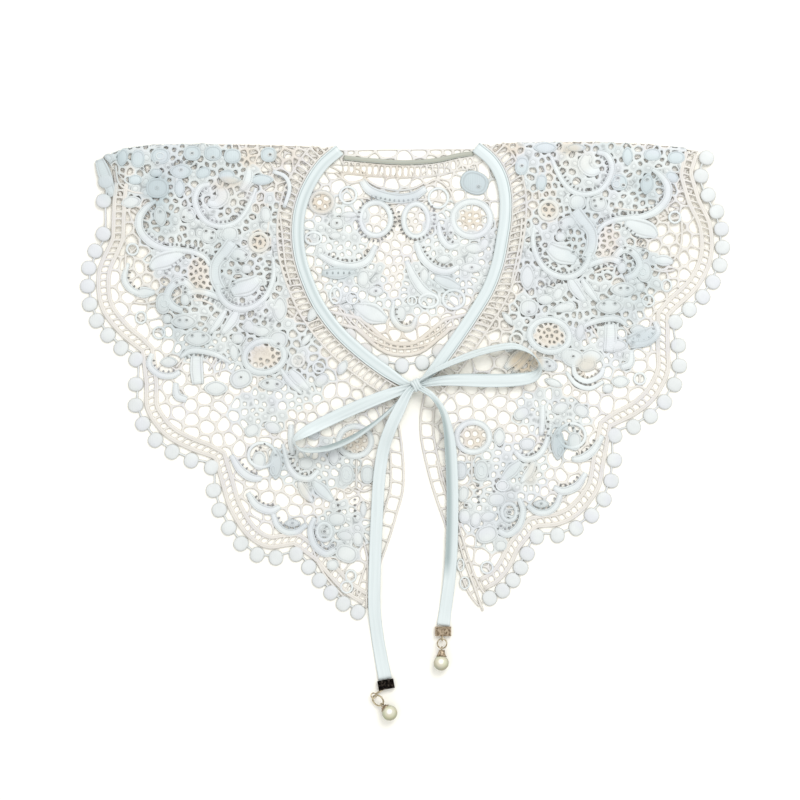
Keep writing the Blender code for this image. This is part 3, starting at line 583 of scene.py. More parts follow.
leftLace = {
    "name": "laceFrontLeft", "cadNode": "lace_front_left", "seed": 11, "walk": 1,
    "scallops": (
        (2, ((-217.5, 179), (-219, 165))),
        (9, ((-219, 142), (-230, 116), (-228, 86), (-213, 64), (-195, 49))),
        (7, ((-196, 33), (-195, 12), (-181, -9), (-162, -21), (-140, -29))),
        (7, ((-140, -44), (-135, -60), (-121, -82), (-101, -94), (-78, -91.5))),
        (5, ((-71, -100), (-61, -112), (-48, -125), (-35, -133))),
    ),
    "fold": (
        (-218, 197), (-203, 203), (-183, 206), (-150, 206.5), (-112, 206), (-75, 205), (-54, 204),
    ),
    "binding": (
        (-47, 201.5), (-60, 190), (-70, 174), (-75.5, 158), (-77, 142), (-75.5, 126), (-71, 110),
        (-62, 90), (-47, 70), (-27, 52), (-8, 38.5), (1, 33),
    ),
    "inner": (
        (-4, 26), (-6, 12), (-3, -4), (-1, -22), (-1, -42), (-5, -58), (-10, -75), (-16, -92),
        (-22, -108), (-26, -121),
    ),
    "bands": (
        ((-221, 198, 4), (-216, 184, 8), (-210, 168, 4)), ((-112, 190, 3), (-113, 180, 6), (-118, 172, 3)),
        ((-199, 120, 2), (-202, 109, 4), (-197, 101, 4), (-187, 97, 3)),
        ((-95, 186, 2.4), (-86, 182, 2.6), (-83, 173, 2.6), (-87, 160, 2.4)),
    ),
    "pads": (
        (-203, 196, 13, 8, 80), (-192, 195, 13, 10, 90), (-176, 197, 14, 12, 0), (-161, 186, 17, 11, 0),
        (-153, 199, 13, 11, 0), (-138, 199, 13, 11, 0), (-124, 197, 13, 11, 0), (-98, 198, 12, 11, 0),
        (-178, 174, 17, 15, 0), (-197, 164, 15, 9, 10), (-179, 185, 9, 6, 0), (-194, 180, 10, 7, 0),
        (-145, 185, 11, 8, 20), (-128, 183, 12, 8, 0), (-92, 88, 9, 4, 0), (-30, -57, 12, 5, 90),
        (-66, 84, 14, 7, 60), (-60, 36, 12, 8, 40), (-45, 45, 12, 7, 60),
    ),
    "rings": ((-39, -105, 4.5, 5, 0, 1.6), (-62, 45, 5, 5, 0, 1.6), (-176, 197, 3.5, 3, 0, 1.2)),
    "eyelets": ((-178, 192), (-189, 188), (-97, 198), (-153, 199), (-138, 196), (-178, 174), (-161, 187)),
    "dots": (((-36, -50), (-36, -62)), ((-150, 191), (-163, 193), (-170, 189))),
    "cords": (
        ((-30, -80), (-27, -92), (-27, -110), (-28, -128)),
        ((-68, -76), (-66, -86), (-62, -97), (-55, -108), (-44, -120)),
        ((-208, 190), (-206, 178), (-198, 172), (-188, 170)),
        ((-90, 156), (-88, 138), (-86, 120), (-82, 104)),
    ),
    "nets": ((-203, 186, 6, 7, 3.6), (-113, 196, 5, 7, 3.2), (-85, 197, 7, 7, 3.2)),
    "tones": (
        (-135, 150, 75, 60, 0.08), (-178, 174, 12, 12, 0.7), (-214, 186, 12, 20, 0.6), (-202, 197, 6, 9, 0.5),
        (-113, 196, 7, 9, -0.4), (-85, 197, 10, 8, -0.35), (-160, 195, 40, 16, 0.22),
        (-130, 178, 12, 5, -0.3),
    ),
    "zones": (
        (-165, 187, 60, 24, 0.9), (-120, 125, 42, 55, 0.85), (-165, 138, 24, 30, 0.8),
        (-108, 62, 30, 26, 0.7), (-150, 70, 20, 22, 0.6), (-106, 14, 24, 15, 0.5), (-62, -27, 32, 19, 0.5),
        (-45, -72, 20, 20, 0.8), (-78, 45, 22, 30, 0.45),
    ),
}
rightLace = {
    "name": "laceFrontRight", "cadNode": "lace_front_right", "seed": 12, "walk": -1,
    "scallops": (
        (2, ((219, 195), (215, 182))), (9, ((220, 170), (229, 150), (230, 123), (219, 98), (196, 76))),
        (7, ((199, 61), (199, 40), (188, 18), (172, 4), (152, -6))),
        (7, ((153, -22), (148, -46), (132, -67), (114, -77), (95, -79))),
        (5, ((90, -90), (82, -106), (72, -117), (62, -123))),
    ),
    "fold": (
        (60, 206), (75, 207), (100, 208), (140, 208), (175, 206.5), (200, 204), (214, 202),
    ),
    "binding": (
        (51, 203.5), (62, 194), (69, 182), (72, 168), (72, 153), (70, 138), (66.5, 120), (60, 102),
        (50, 85), (38, 67), (25, 49), (13.5, 36),
    ),
    "inner": (
        (14, 27), (11, 12), (11, -4), (14, -20), (18, -36), (23, -52), (28, -66), (32, -80), (37, -96),
        (42, -110), (47, -120), (53, -127),
    ),
    "bands": (
        ((121, 47, 2.5), (123, 39, 3.5), (131, 35, 3.5), (140, 39, 3.5), (143, 45, 2.5)),
        ((116, 42, 2), (123, 33, 3), (133, 30, 3), (143, 35, 2)),
        ((181, 74, 3), (172, 67, 11), (161, 63, 8)),
    ),
    "pads": (
        (131, 47, 14, 10, 10), (104, 46, 12, 8, 0), (116, 54, 11, 9, 90), (153, 61, 15, 9, 0),
        (155, 35, 14, 9, 0), (146, 30, 8, 7, 0), (107, 34, 14, 6, -20), (42, -46, 12, 8, 80),
        (43, -62, 11, 9, 90), (84, 190, 14, 10, 80), (178, 198, 13, 9, 0), (195, 196, 13, 9, 0),
        (192, 182, 10, 7, -30), (70, -40, 9, 8, 0), (76, 60, 10, 7, 30),
    ),
    "rings": (
        (169, 37, 5, 5, 0, 1.8), (40, -97, 3, 5, 0, 1.3), (43, -110, 4, 5, 0, 1.3), (70, -40, 5, 4.5, 0, 1.4),
    ),
    "eyelets": ((164, 63), (168, 68), (104, 46), (44, -54), (84, 190)),
    "dots": (((103, 6), (103, -4)), ((52, -40), (53, -52))),
    "cords": (
        ((23, -22), (26, -36), (30, -48), (40, -85), (48, -108), (56, -130)),
        ((45, -100), (49, -110), (53, -122)),
        ((150, 160), (170, 158), (192, 163)), ((84, 152), (83, 138), (80, 122), (76, 104)),
    ),
    "nets": ((78, 200, 8, 6, 3.4),),
    "tones": (
        # the warm tone at (86, 50) paints the right bow loop's shadow on the lace
        (120, 150, 80, 62, 0.12), (86, 50, 13, 9, -0.9), (171, 66, 13, 9, 0.6), (131, 46, 9, 8, -0.4),
        (117, 203, 9, 5, -0.4), (146, 205, 12, 6, 0.3), (78, 203, 8, 5, -0.5), (115, -8, 10, 12, 0.3),
    ),
    "zones": (
        (100, 190, 34, 20, 0.85), (150, 180, 42, 28, 0.85), (122, 132, 42, 40, 0.85), (110, 80, 32, 26, 0.8),
        (150, 88, 20, 16, 0.6), (146, 57, 20, 16, 0.6), (106, 13, 26, 15, 0.5), (73, -32, 30, 22, 0.5),
        (60, -65, 18, 20, 0.8), (195, 194, 22, 12, 0.7), (168, 112, 14, 18, 0.6),
    ),
}
backLace = {
    "name": "laceBack", "cadNode": "lace_back", "seed": 5, "walk": 1,
    "scallops": (
        (0, ((-219, 186), (-215, 166), (-200, 148), (-182, 140))),
        (0, ((-176, 128), (-160, 106), (-138, 95), (-118, 94))),
        (0, ((-108, 84), (-88, 66), (-68, 62), (-50, 68))),
        (7, ((-42, 66), (-22, 49), (-3, 44), (17, 48), (38, 65))),
        (0, ((50, 68), (68, 62), (88, 66), (108, 84))),
        (0, ((118, 94), (138, 95), (160, 106), (176, 128))),
        (0, ((182, 140), (200, 148), (215, 166), (219, 186))),
    ),
    "neck": (
        (-44, 196), (-25, 194), (0, 192.5), (22, 194), (38, 197.5), (49, 199),
    ),
    "bands": (
        ((-31, 180, 4), (-26, 173, 5.5), (-16, 168.5, 6), (-4, 166.5, 6), (7, 168.5, 5.5), (15, 174, 4)),
        ((24, 150, 2), (26, 139, 4), (32, 132, 4), (39, 134, 2)),
        ((8, 136, 3), (12, 125, 5), (20, 117, 5), (30, 114, 5), (39, 118, 3)),
        ((1, 122, 3), (7, 109, 6), (14, 100, 6), (23, 96, 3)),
        ((-63, 127, 3), (-50, 120, 5), (-38, 118, 5), (-27, 122, 5), (-21, 133, 3)),
        ((-60, 113, 3), (-48, 113, 8), (-36, 115, 3)), ((-37, 90, 3), (-24, 84, 13), (-13, 79, 4)),
        ((-8, 93, 2), (-9, 82, 3.5), (-3, 74, 4), (5, 74, 4), (8, 81, 2)),
        ((21, 110, 3), (30, 106, 8), (40, 102, 3)),
    ),
    "pads": (
        (50, 178, 21, 17, -20), (33, 143, 11, 6, 90), (50, 131, 17, 8, 0), (48, 117, 19, 8, 0),
        (28, 123, 12, 7, 0), (14, 111, 13, 7, 90), (-49, 149, 11, 9, 0), (-30, 109, 13, 9, 90),
        (-21, 100, 13, 8, 0), (-3, 84, 12, 8, 90), (-50, 140, 10, 6, 0), (57, 134, 9, 7, 60),
        (-40, 155, 14, 5, 0),
    ),
    "rings": (
        (-21, 152, 13, 14, 0, 4.2), (8, 151, 11, 14, 0, 4.2), (48, 152, 16, 15, 0, 5),
        (-60, 164, 10, 9, 0, 3.4), (-66, 138, 7, 5.5, 0, 2.2), (-41, 169, 7, 7, 0, 2), (24, 167, 8, 8, 0, 2),
        (5, 93, 4, 4, 0, 1.5), (17, 93, 8, 6, 0, 2.2), (35, 94, 9, 8, 0, 2.4), (-50, 97, 5, 7, 0, 2),
        (-38, 95, 5, 5, 0, 1.6),
    ),
    "eyelets": ((53, 175), (33, 142), (48, 117), (-21, 100), (-49, 149)),
    "dots": (
        ((-34, 150), (-31, 162), (-21, 167.5)),
        ((-11, 162), (-7, 150), (-12, 141), (-21, 136), (-31, 141), (-34, 150)),
        ((-4.5, 157), (-3, 145), (3, 138), (12, 138), (20, 145), (21, 158), (17, 163)),
        ((-56, 113), (-40, 113)), ((-24, 168), (-6, 165), (9, 166)),
    ),
    "cords": (
        ((-29, 181), (-20, 175.5), (-6, 172.5), (6, 174), (14, 178)),
        ((-48, 164), (-30, 167), (-16, 163), (0, 164), (16, 166), (33, 163)),
        ((-42, 82), (-25, 66), (-7, 59), (10, 60), (25, 66), (36, 76)), ((-48, 88), (-38, 75), (-22, 63)),
        ((-40, 86), (-24, 70), (-7, 63), (10, 64), (23, 70), (33, 79)),
        ((14, 176), (22, 180), (31, 174), (36, 163)),
        ((-50, 185), (-40, 178), (-30, 180)),
    ),
    "nets": (
        (48, 152, 9, 8, 3.2), (-21, 152, 8, 9, 3.6), (8, 152, 6, 9, 4.0), (-7, 120, 9, 22, 4.6),
        (-60, 164, 6, 6, 3.0),
    ),
    "tones": (
        (48, 152, 9, 8, -0.5), (50, 178, 14, 10, 0.6), (-60, 164, 9, 9, -0.6), (0, 66, 46, 12, -0.3),
        (-20, 186, 30, 7, -0.4), (-6, 169, 22, 6, 0.4), (-48, 113, 16, 6, 0.5), (28, 106, 14, 8, 0.35),
    ),
    "zones": (
        (-48, 140, 22, 30, 0.7), (40, 128, 30, 34, 0.7), (14, 105, 26, 20, 0.6), (-30, 100, 24, 20, 0.6),
    ),
}

# Motifs. A row holds: band x, y, width at each point; pad x, y, length, width, turn; ring x, y, half
# length, half width, turn, band; eyelet x, y; dots a path; cord a path; net x, y, half sizes, cell;
# zone x, y, half sizes, share of filled cells; tone x, y, half sizes, cool above 0 or warm below, warm being
# painted shade.
shoulderMotifs = {
    "bands": (
        ((105, 197, 2), (109, 187, 3), (114, 178, 3), (121, 171.5, 3.5), (131, 169.5, 3.5), (141, 173, 3.5),
         (147, 181, 4), (149, 190, 4), (145, 198, 4), (138, 200, 3)),
        ((131, 197, 6), (129, 191, 9), (134, 186, 7), (140, 187, 4)),
        ((177, 188, 2), (184, 183, 4), (189, 175, 5), (188, 166, 5), (181, 158, 5), (171, 153.5, 4),
         (160, 152.5, 3.5), (150, 151, 3.5), (142, 147, 3), (138, 141, 2.5)),
        ((122, 158, 8), (128, 150, 8), (134, 142, 7), (134, 131, 7), (129, 122, 6)),
        ((93, 147, 2), (92, 137, 3), (94, 127, 3.5), (99, 118, 3.5), (107, 112, 4), (116, 110, 4),
         (125, 113, 4), (131, 120, 4), (133, 128, 3.5)),
        ((103, 132, 6), (110, 127, 11), (117, 125, 11), (123, 122, 6)),
        ((131, 118, 4), (138, 121, 4), (148, 123, 4), (155, 121, 5)),
        ((150, 124, 4), (157, 130, 5), (165, 127, 5), (169, 119, 5), (165, 112, 5), (158, 109, 4)),
        ((158, 150, 5), (167, 146, 11), (176, 143, 10), (181, 139, 3)),
        ((178, 122, 2.5), (186, 122, 7), (193, 121, 2.5)),
        ((118, 110, 3), (122, 102, 7), (130, 92, 3)),
        ((127, 109, 2.5), (132, 101, 5), (139, 92, 2)),
        ((123, 71, 2), (133, 77, 3.5), (144, 80, 4), (153, 80, 4), (160, 75, 2)),
        ((148, 76, 7), (148, 66, 8), (147, 56, 7)),
        ((180, 78, 3), (182, 70, 4), (175, 63, 4), (166, 62, 4), (160, 65, 3)),
        ((163, 57, 3), (162, 48, 5), (155, 45, 4)),
    ),
    "pads": (
        (174, 177, 16, 10, 80), (154, 178, 12, 12, 0), (124, 164, 13, 12, 0), (139, 163, 13, 12, 10),
        (117, 149, 14, 10, 20), (156, 117, 9, 7, 90), (172, 114, 16, 11, 90), (157, 101, 20, 11, 0),
        (169, 103, 7, 7, 0), (88, 110, 20, 11, 90), (89, 88, 14, 13, 0), (101, 94, 14, 8, 0),
        (110, 98, 10, 7, 60), (118, 89, 10, 8, 0), (168, 72, 13, 8, 0), (147, 89, 21, 12, 0),
        (134, 53, 18, 11, 0), (101, 203, 18, 8, 0), (123, 203, 15, 6, 0), (160, 197, 14, 8, 90),
        (112, 139, 8, 7, 0), (98, 178, 12, 8, 80),
    ),
    "rings": (
        (194, 153, 5, 5, 0, 1.8), (188, 104, 4.5, 5, 0, 1.6), (175, 93, 5, 5, 0, 1.6), (103, 158, 8, 8, 0, 3),
        (152, 177, 3, 3, 0, 1), (171, 114, 3, 3, 0, 1.2),
    ),
    "eyelets": (
        (153, 181), (157, 176), (112, 149), (118, 146), (127, 146), (118, 138), (121, 128), (126, 125),
        (158, 131), (162, 129), (156, 122), (155, 102), (160, 102), (89, 85), (136, 165), (137, 161),
        (141, 166), (174, 180), (143, 91), (151, 91),
    ),
    "dots": (
        ((157, 147), (165, 141), (171, 133), (171, 126)), ((95, 102), (105, 106), (113, 106)),
    ),
    "cords": (
        ((97, 186), (96, 175), (97, 165)), ((176, 116), (185, 114), (194, 115)),
        ((193, 122), (197, 128), (199, 138), (199, 150)), ((136, 113), (143, 116), (150, 116)),
        ((134, 75), (139, 66)), ((129, 73), (132, 62)), ((157, 75), (163, 68)),
    ),
    "nets": ((145, 134, 8, 15, 3.3), (103, 158, 6, 6, 3.0), (104, 183, 5, 9, 3.6)),
    "tones": (
        (122, 194, 16, 12, -0.25), (146, 134, 9, 15, -0.35), (103, 158, 9, 9, -0.5), (174, 176, 12, 14, 0.45),
        (128, 140, 14, 26, 0.3), (170, 112, 16, 20, 0.35), (155, 88, 22, 14, 0.3),
    ),
}
ovalFlower = {
    "bands": (((-18, -10, 4), (-24, -16, 7), (-32, -24, 3)), ((-11, -8, 2), (-18, -18, 4), (-27, -27, 2))),
    "pads": (
        (17, -16, 17, 14, -20), (-5, -20, 20, 10, 0), (22, 3, 14, 7, 80), (-30, 12, 13, 5, -50),
        (9, 20, 16, 7, 10),
    ),
    "rings": ((0, 0, 17, 14, -10, 5), (-24, -3, 5.5, 5.5, 0, 2.2)),
    "eyelets": ((-2, -19), (-9, -20), (17, -15)),
    "nets": ((0, 0, 12, 9, 2.9),),
    "tones": ((0, 0, 11, 8, -0.45), (0, 0, 28, 28, 0.12), (-24, -3, 6, 6, -0.3)),
}
roundFlower = {
    "pads": ((-6, -24, 16, 11, 90), (9, -24, 14, 10, 90)),
    "rings": ((0, 0, 14, 13, 0, 4.5), (-6, -24, 3, 4, 0, 1.2)),
    "cords": (((1, -14), (1, -34)), ((-12, -34), (-4, -37), (0, -33), (6, -36), (14, -33))),
    "nets": ((0, 0, 9.5, 8.5, 3.0),), "tones": ((0, 0, 9, 8, -0.45), (0, -24, 16, 10, 0.25)),
}
lowerMotifs = {
    "bands": (
        ((82, -49, 3), (85, -58, 4), (82, -69, 4.5), (74, -75, 4.5), (67, -72, 4)),
        ((105, 4, 2), (101, -11, 3.5), (95, -19, 4), (86, -21, 4), (79, -15, 3)),
        ((83, -23, 3), (77, -29, 8), (69, -37, 3)), ((93, -23, 3), (89, -31, 6), (83, -38, 2)),
        ((130, -31, 3), (124, -40, 5), (114, -44, 5), (107, -41, 3)),
        ((112, -46, 3), (109, -54, 4), (103, -59, 4), (95, -59, 4), (88, -54, 3)),
        ((142, -4, 3), (136, -14, 5), (128, -20, 5), (120, -21, 3)),
        ((98, -4, 3), (99, 8, 4), (99, 18, 3)),
    ),
    "pads": (
        (66, -50, 14, 10, 0), (60, -62, 13, 8, 10), (59, -75, 17, 13, 20), (51, -64, 12, 8, 80),
        (69, -83, 9, 8, 0), (110, -10, 24, 10, 90), (88, -10, 12, 9, 0), (68, -5, 14, 9, 90),
        (98, -53, 12, 6, 0), (122, -8, 14, 10, 90), (112, 16, 14, 9, 20), (127, 14, 12, 9, -30),
        (84, 12, 13, 9, 30),
    ),
    "rings": (
        (75, -59, 7, 8, 0, 3.4), (112, -15, 2.5, 4, 0, 1.2), (59, -99, 5, 5, 0, 1.6),
        (120, -4, 11, 10, 0, 2.5),
    ),
    "eyelets": ((75, -59), (69, -69), (110, -4), (98, -53)),
    "dots": (
        ((64, -44), (66, -36)), ((118, 4), (124, -1)),
    ),
    "cords": (),
    "tones": (
        (110, -10, 8, 16, 0.5), (78, -29, 10, 9, 0.3), (90, -31, 6, 9, -0.3), (75, -60, 16, 16, 0.25),
        (98, -53, 10, 6, 0.4),
    ),
}
shared = {
    "left": (
        (shoulderMotifs, -1, -2, -23), (ovalFlower, -1, -101, 53), (roundFlower, 1, -36, -8),
        (lowerMotifs, -1, 17, -14),
    ),
    "right": (
        (shoulderMotifs, 1, 0, 0), (ovalFlower, 1, 104, 68), (roundFlower, -1, 49, -5),
        (lowerMotifs, 1, 0, 0),
    ),
}


def placed(row, flip, dx, dy):
    return (row[0] * flip + dx, row[1] + dy) + row[2:]


def moved(group, flip, dx, dy):
    # paths move point by point; a pad or ring that is mirrored turns the other way
    found = {}
    for key, rows in group.items():
        if key in ("bands", "dots", "cords"):
            found[key] = tuple(tuple(placed(point, flip, dx, dy) for point in row) for row in rows)
        else:
            found[key] = tuple(placed(row, flip, dx, dy) for row in rows)
        if key in ("pads", "rings"):
            found[key] = tuple(row[:4] + (row[4] * flip,) + row[5:] for row in found[key])
    return found


def gathered(table, groups=()):
    every = dict(table)
    for key in ("bands", "pads", "rings", "eyelets", "dots", "cords", "nets", "tones"):
        every[key] = table[key] + tuple(row for group in groups for row in moved(*group).get(key, ()))
    return every


def ovalLine(x, y, halfLength, halfWidth, turn, pitch=2.4):
    around = math.pi * (halfLength + halfWidth)
    steps = max(10, round(around / pitch))
    turns = [2 * math.pi * step / steps for step in range(steps)]
    return [turnedPoint(halfLength * math.cos(a), halfWidth * math.sin(a), x, y, turn) for a in turns]


dotShape = {"pitch": 3.0, "sizes": (1.15, 0.75), "foot": 0.9, "sides": 6}
eyeletShape = {
    "hollow": (1.1, 0.85), "foot": 0.9, "rise": 0.2, "rim": (1.5, 1.25), "rimHalf": 0.5, "rimRise": 0.3,
}
# Satin: limits at which a piece changes its section, sizes, and how far it ends above or below satinTop
satinShape = {
    "foot": 0.15, "shoulderAbove": 165, "rimmedWidth": 4.5, "longAbove": 1.5, "longBlunt": 1.2,
    "roundBlunt": 0.86, "hair": 0.013, "rimmedHalf": 2.3, "dottedHalf": 3.4, "bandRise": 0.12,
    "rimmedRing": 3.2, "fineRing": 1.5, "fineRise": 0.3, "ringRise": 0.05, "cordHalf": 0.95,
    "cordFoot": 0.1, "cordDrop": 0.15, "dotRise": 0.24, "dotDrop": 0.15,
}


def addDots(lace, line, top):
    line = evenly(line, max(2, round(lengthOf(line) / dotShape["pitch"])))
    for point, normal in zip(line, leftNormals(line)):
        turn = math.degrees(math.atan2(normal.y, normal.x))
        # each dot is a dark dome, a painted shadow of a small hole
        addDome(lace, *point, *dotShape["sizes"], turn, dotShape["foot"], top, holeShadowSlot, dotShape["sides"])


def addEyelet(lace, x, y, high):
    foot = eyeletShape["foot"]
    # the dark dome in the middle paints the shadow of the eyelet's hole
    addDome(lace, x, y, *eyeletShape["hollow"], 0, foot, high + eyeletShape["rise"], holeShadowSlot, 8)
    rim = ovalLine(x, y, *eyeletShape["rim"], 0, 1.0)
    top = high + eyeletShape["rimRise"]
    addPad(lace, rim, eyeletShape["rimHalf"], foot, top, beadSlot, cordProfile, loop=True)


def addBand(lace, row, top):
    line = curveThrough(row, 4)
    halves = [max(0.5, point.z * edgeShape["bandSwell"] / 2) for point in line]
    line = [point.xy for point in line]
    profile = wideProfile if max(halves) > satinShape["rimmedHalf"] else padProfile
    addPad(lace, line, halves, satinShape["foot"], top, scrollSlot, profile)
    if len(row) > 3 and max(halves) < satinShape["dottedHalf"]:
        # a row of dots runs along the hollow side
        side = math.copysign(max(halves) + 0.5, signedArea([tuple(point) for point in line]))
        addDots(lace, offsetLine(line, side)[2:-2], top - satinShape["dotDrop"])


def addSatin(lace, table):
    # neighbours in a table end a hair apart in height, so that crossing pieces seldom share a face
    high, foot, hair = edgeShape["satinTop"], satinShape["foot"], satinShape["hair"]
    for count, (x, y, long, wide, turn) in enumerate(table["pads"]):
        slot = shoulderSlot if y > satinShape["shoulderAbove"] else satinSlot
        blunt = satinShape["longBlunt" if long > satinShape["longAbove"] * wide else "roundBlunt"]
        rows = rimmedDome if wide > satinShape["rimmedWidth"] else plainDome
        addDome(lace, x, y, long / 2, wide / 2, turn, foot, high + hair * (count % 7), slot, 20, rows, blunt)
    for count, row in enumerate(table["bands"]):
        addBand(lace, row, high + satinShape["bandRise"] + hair * (count % 5))
    for x, y, halfLength, halfWidth, turn, band in table["rings"]:
        line = ovalLine(x, y, halfLength - band / 2, halfWidth - band / 2, turn)
        profile = wideProfile if band > satinShape["rimmedRing"] else padProfile
        rise = satinShape["fineRise" if band < satinShape["fineRing"] else "ringRise"]
        addPad(lace, line, band / 2, foot, high + rise, scrollSlot, profile, loop=True)
    for path in table["cords"]:
        line, top = curveThrough(path, 5), high - satinShape["cordDrop"]
        addPad(lace, line, satinShape["cordHalf"], satinShape["cordFoot"], top, netSlot, cordProfile)
    for path in table["dots"]:
        addDots(lace, curveThrough(path, 5), high + satinShape["dotRise"])
    for x, y in table["eyelets"]:
        addEyelet(lace, x, y, high)


def scallopEdge(rows):
    cord, beads = [], []
    for count, points in rows:
        line = curveThrough(points)
        if not count:
            cord += offsetLine(evenly(line, 6), edgeShape["beadReach"])
            continue
        centres = evenly(line, 2 * count - 1)
        for index, (centre, inward) in enumerate(zip(centres, leftNormals(centres))):
            if index % 2 == 0:
                beads.append((centre, inward))
            cord.append(centre + inward * edgeShape["beadReach"])
    return cord, beads


def netRegion(outline, chains):
    region = []
    for chain, depth in chains:
        line = offsetLine(evenly(chain, max(2, int(lengthOf(chain) / outlineStep))), depth)
        points = np.array([tuple(point) for point in line])
        clear = insideMany(points, outline)
        for other, reach in chains:
            clear &= gapMany(points, [tuple(p) for p in other]) >= abs(reach) - 0.4
        region += [point for point, good in zip(line, clear) if good]
    return region


def bandCells(chain, near, far, pitch):
    count = max(1, round(lengthOf(chain) / pitch))
    close = evenly(offsetLine(chain, near), count + 1)
    deep = evenly(offsetLine(chain, far), count + 1)
    cells = []
    for index in range(count):
        cell = [close[index], close[index + 1], deep[index + 1], deep[index]]
        if signedArea(cell) > 6:
            cells.append([tuple(round(c, 3) for c in corner) for corner in cell])
    return cells


def addNet(lace, table, region, bands):
    ridges = {"points": {}, "sides": set(), "open": set()}
    cells = netCells(region, table, edgeShape["cellSpacing"])
    for cell, fill, slot in cells:
        addCell(lace, cell, edgeShape["barHalf" if slot == netSlot else "denseBar"], ridges, fill, slot)
    closeNet(lace, ridges)
    for band in bands:
        ridges = {"points": {}, "sides": set(), "open": set()}
        for cell in band:
            addCell(lace, cell, edgeShape["barHalf"], ridges)
        closeNet(lace, ridges)
    return len(cells)


def addBeads(lace, beads):
    # a thin cord runs from bead to bead
    reach = edgeShape["beadInset"] + edgeShape["linkInset"]
    link = curveThrough([centre + inward * reach for centre, inward in beads], 4)
    addPad(lace, link, edgeShape["linkHalf"], 0.0, edgeShape["linkTop"], beadSlot, cordProfile)
    for centre, inward in beads:
        turn = math.degrees(math.atan2(inward.y, inward.x))
        place = centre + inward * edgeShape["beadInset"]
        sizes = (edgeShape["beadLength"], edgeShape["beadWidth"])
        addDome(lace, *place, *sizes, turn, 0.0, edgeShape["beadTop"], beadSlot, 16, plainDome, 0.9)


# The fronts lie level on the back, then come down to the table over a slope
laid = {"level": 1.6, "flat": 20.0, "slope": 26.0}


def frontLift(points, rest):
    beyond = gapMany(points, rest + rest[:1])
    beyond[insideMany(points, rest)] = 0.0
    t = np.clip((beyond - laid["flat"]) / laid["slope"], 0, 1)
    return laid["level"] * (1 - t * t * (3 - 2 * t))


roll = {"radius": 0.8, "inset": 1.4, "middle": 0.6, "reach": 12}


def rollOver(points, crease):
    # turns what reaches past the crease over the fold and under, onto the back
    radius, middle = roll["radius"], roll["middle"]
    line = [tuple(point) for point in crease]
    bend = points[:, 2] * 0
    for a, b in zip(line, line[1:]):
        a, b = np.array(a), np.array(b)
        along = (b - a) / np.hypot(*(b - a))
        outward = np.array((along[1], -along[0]))
        reach = (points[:, :2] - a) @ along
        first, last = tuple(a) == line[0], tuple(b) == line[-1]
        mine = ((reach >= 0) | first) & ((reach < np.hypot(*(b - a))) | last)
        past = (points[:, :2] - a) @ outward + roll["inset"]
        mine &= (past > 0) & (past < roll["reach"]) & (bend == 0)
        if not mine.any():
            continue
        s = past[mine]
        angle = np.clip(s / radius, 0, math.pi)
        over = np.maximum(s - math.pi * radius, 0)
        high = points[mine, 2] - middle
        lift = points[mine, 3]
        out = (radius + high) * np.sin(angle) - over - s
        centre = lift + middle - radius
        points[mine, :2] += out[:, None] * outward
        points[mine, 2] = centre + (radius + high) * np.cos(angle) - lift
        bend[mine] = 1
    return points


def soften(points, tones):
    # each tone fades out towards the rim of its zone
    values = np.zeros(len(points))
    for x, y, halfWidth, halfHeight, tone in tones:
        away = ((points[:, 0] - x) / halfWidth) ** 2 + ((points[:, 1] - y) / halfHeight) ** 2
        values += tone * np.clip(1.4 - away, 0, 1)
    return values


def finishLace(lace, table, outline, rest=None, crease=None):
    points = np.array(lace["points"])
    if rest is not None:
        lift = frontLift(points[:, :2], rest)
        points = rollOver(np.column_stack((points, lift)), crease)
        points[:, 2] += points[:, 3]
    points = points[:, :3]
    points[:, 2] = np.maximum(points[:, 2], 0.0)
    points[:, :2] += tableShift
    mesh = bpy.data.meshes.new(table["name"])
    mesh.from_pydata((points * mm).tolist(), [], lace["faces"])
    for material in laceMaterials:
        mesh.materials.append(material)
    mesh.polygons.foreach_set("material_index", lace["slots"])
    mesh.polygons.foreach_set("use_smooth", [True] * len(mesh.polygons))
    mesh.uv_layers.new(name="threadUV").data.foreach_set("uv", np.array(lace["uvs"]).ravel())
    mesh.attributes.new("shade", "FLOAT", "POINT").data.foreach_set("value", lace["shades"])
    tones = soften(points[:, :2], table["tones"])
    mesh.attributes.new("tone", "FLOAT", "POINT").data.foreach_set("value", tones)
    mesh.update()
    piece = bpy.data.objects.new(table["name"], mesh)
    bpy.context.scene.collection.objects.link(piece)
    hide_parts(table["cadNode"])
    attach(piece, "collar")
    corners = np.array([tuple(point) for point in outline]) * mm
    size = corners.max(0) - corners.min(0)
    cut = abs(signedArea(corners.tolist()))
    triangles = sum(len(face) - 2 for face in lace["faces"])
    area = sum(face.area for face in mesh.polygons)
    print(table["name"], triangles, "triangles, cut", round(cut, 4), "m2, share", round(area / 2 / cut, 2))
    return piece, tuple(float(s) for s in size), cut


def backLines():
    cord, beads = scallopEdge(backLace["scallops"])
    folds = []
    for table in (rightLace, leftLace):
        folds.append([Vector(point) - Vector((0, edgeShape["backStep"])) for point in table["fold"][::-1]])
    neck = offsetLine(curveThrough(backLace["neck"], 3)[::-1], edgeShape["backNeckInset"])
    return cord, beads, folds[0] + neck + folds[1], neck


def makeBack():
    lace = newLace()
    table = gathered(backLace)
    cord, beads, top, neck = backLines()
    outline = cord + top
    band = bandCells(cord, 0, edgeShape["bandWidth"], edgeShape["rungPitch"])
    neckWidth = edgeShape["backNeckWidth"]
    neckBand = bandCells(neck, 0, neckWidth, edgeShape["backNeckPitch"])
    region = netRegion(outline, [(cord, edgeShape["bandWidth"]), (top, 0.0), (neck, neckWidth)])
    count = addNet(lace, table, region, (band, neckBand))
    for reach in (0.4, 8):
        line = offsetLine(cord, reach)
        addPad(lace, line, edgeShape["cordHalf"], 0.0, edgeShape["cordTop"], netSlot, cordProfile)
    addSatin(lace, table)
    addBeads(lace, beads)
    print("back net cells", count)
    return finishLace(lace, table, outline), outline


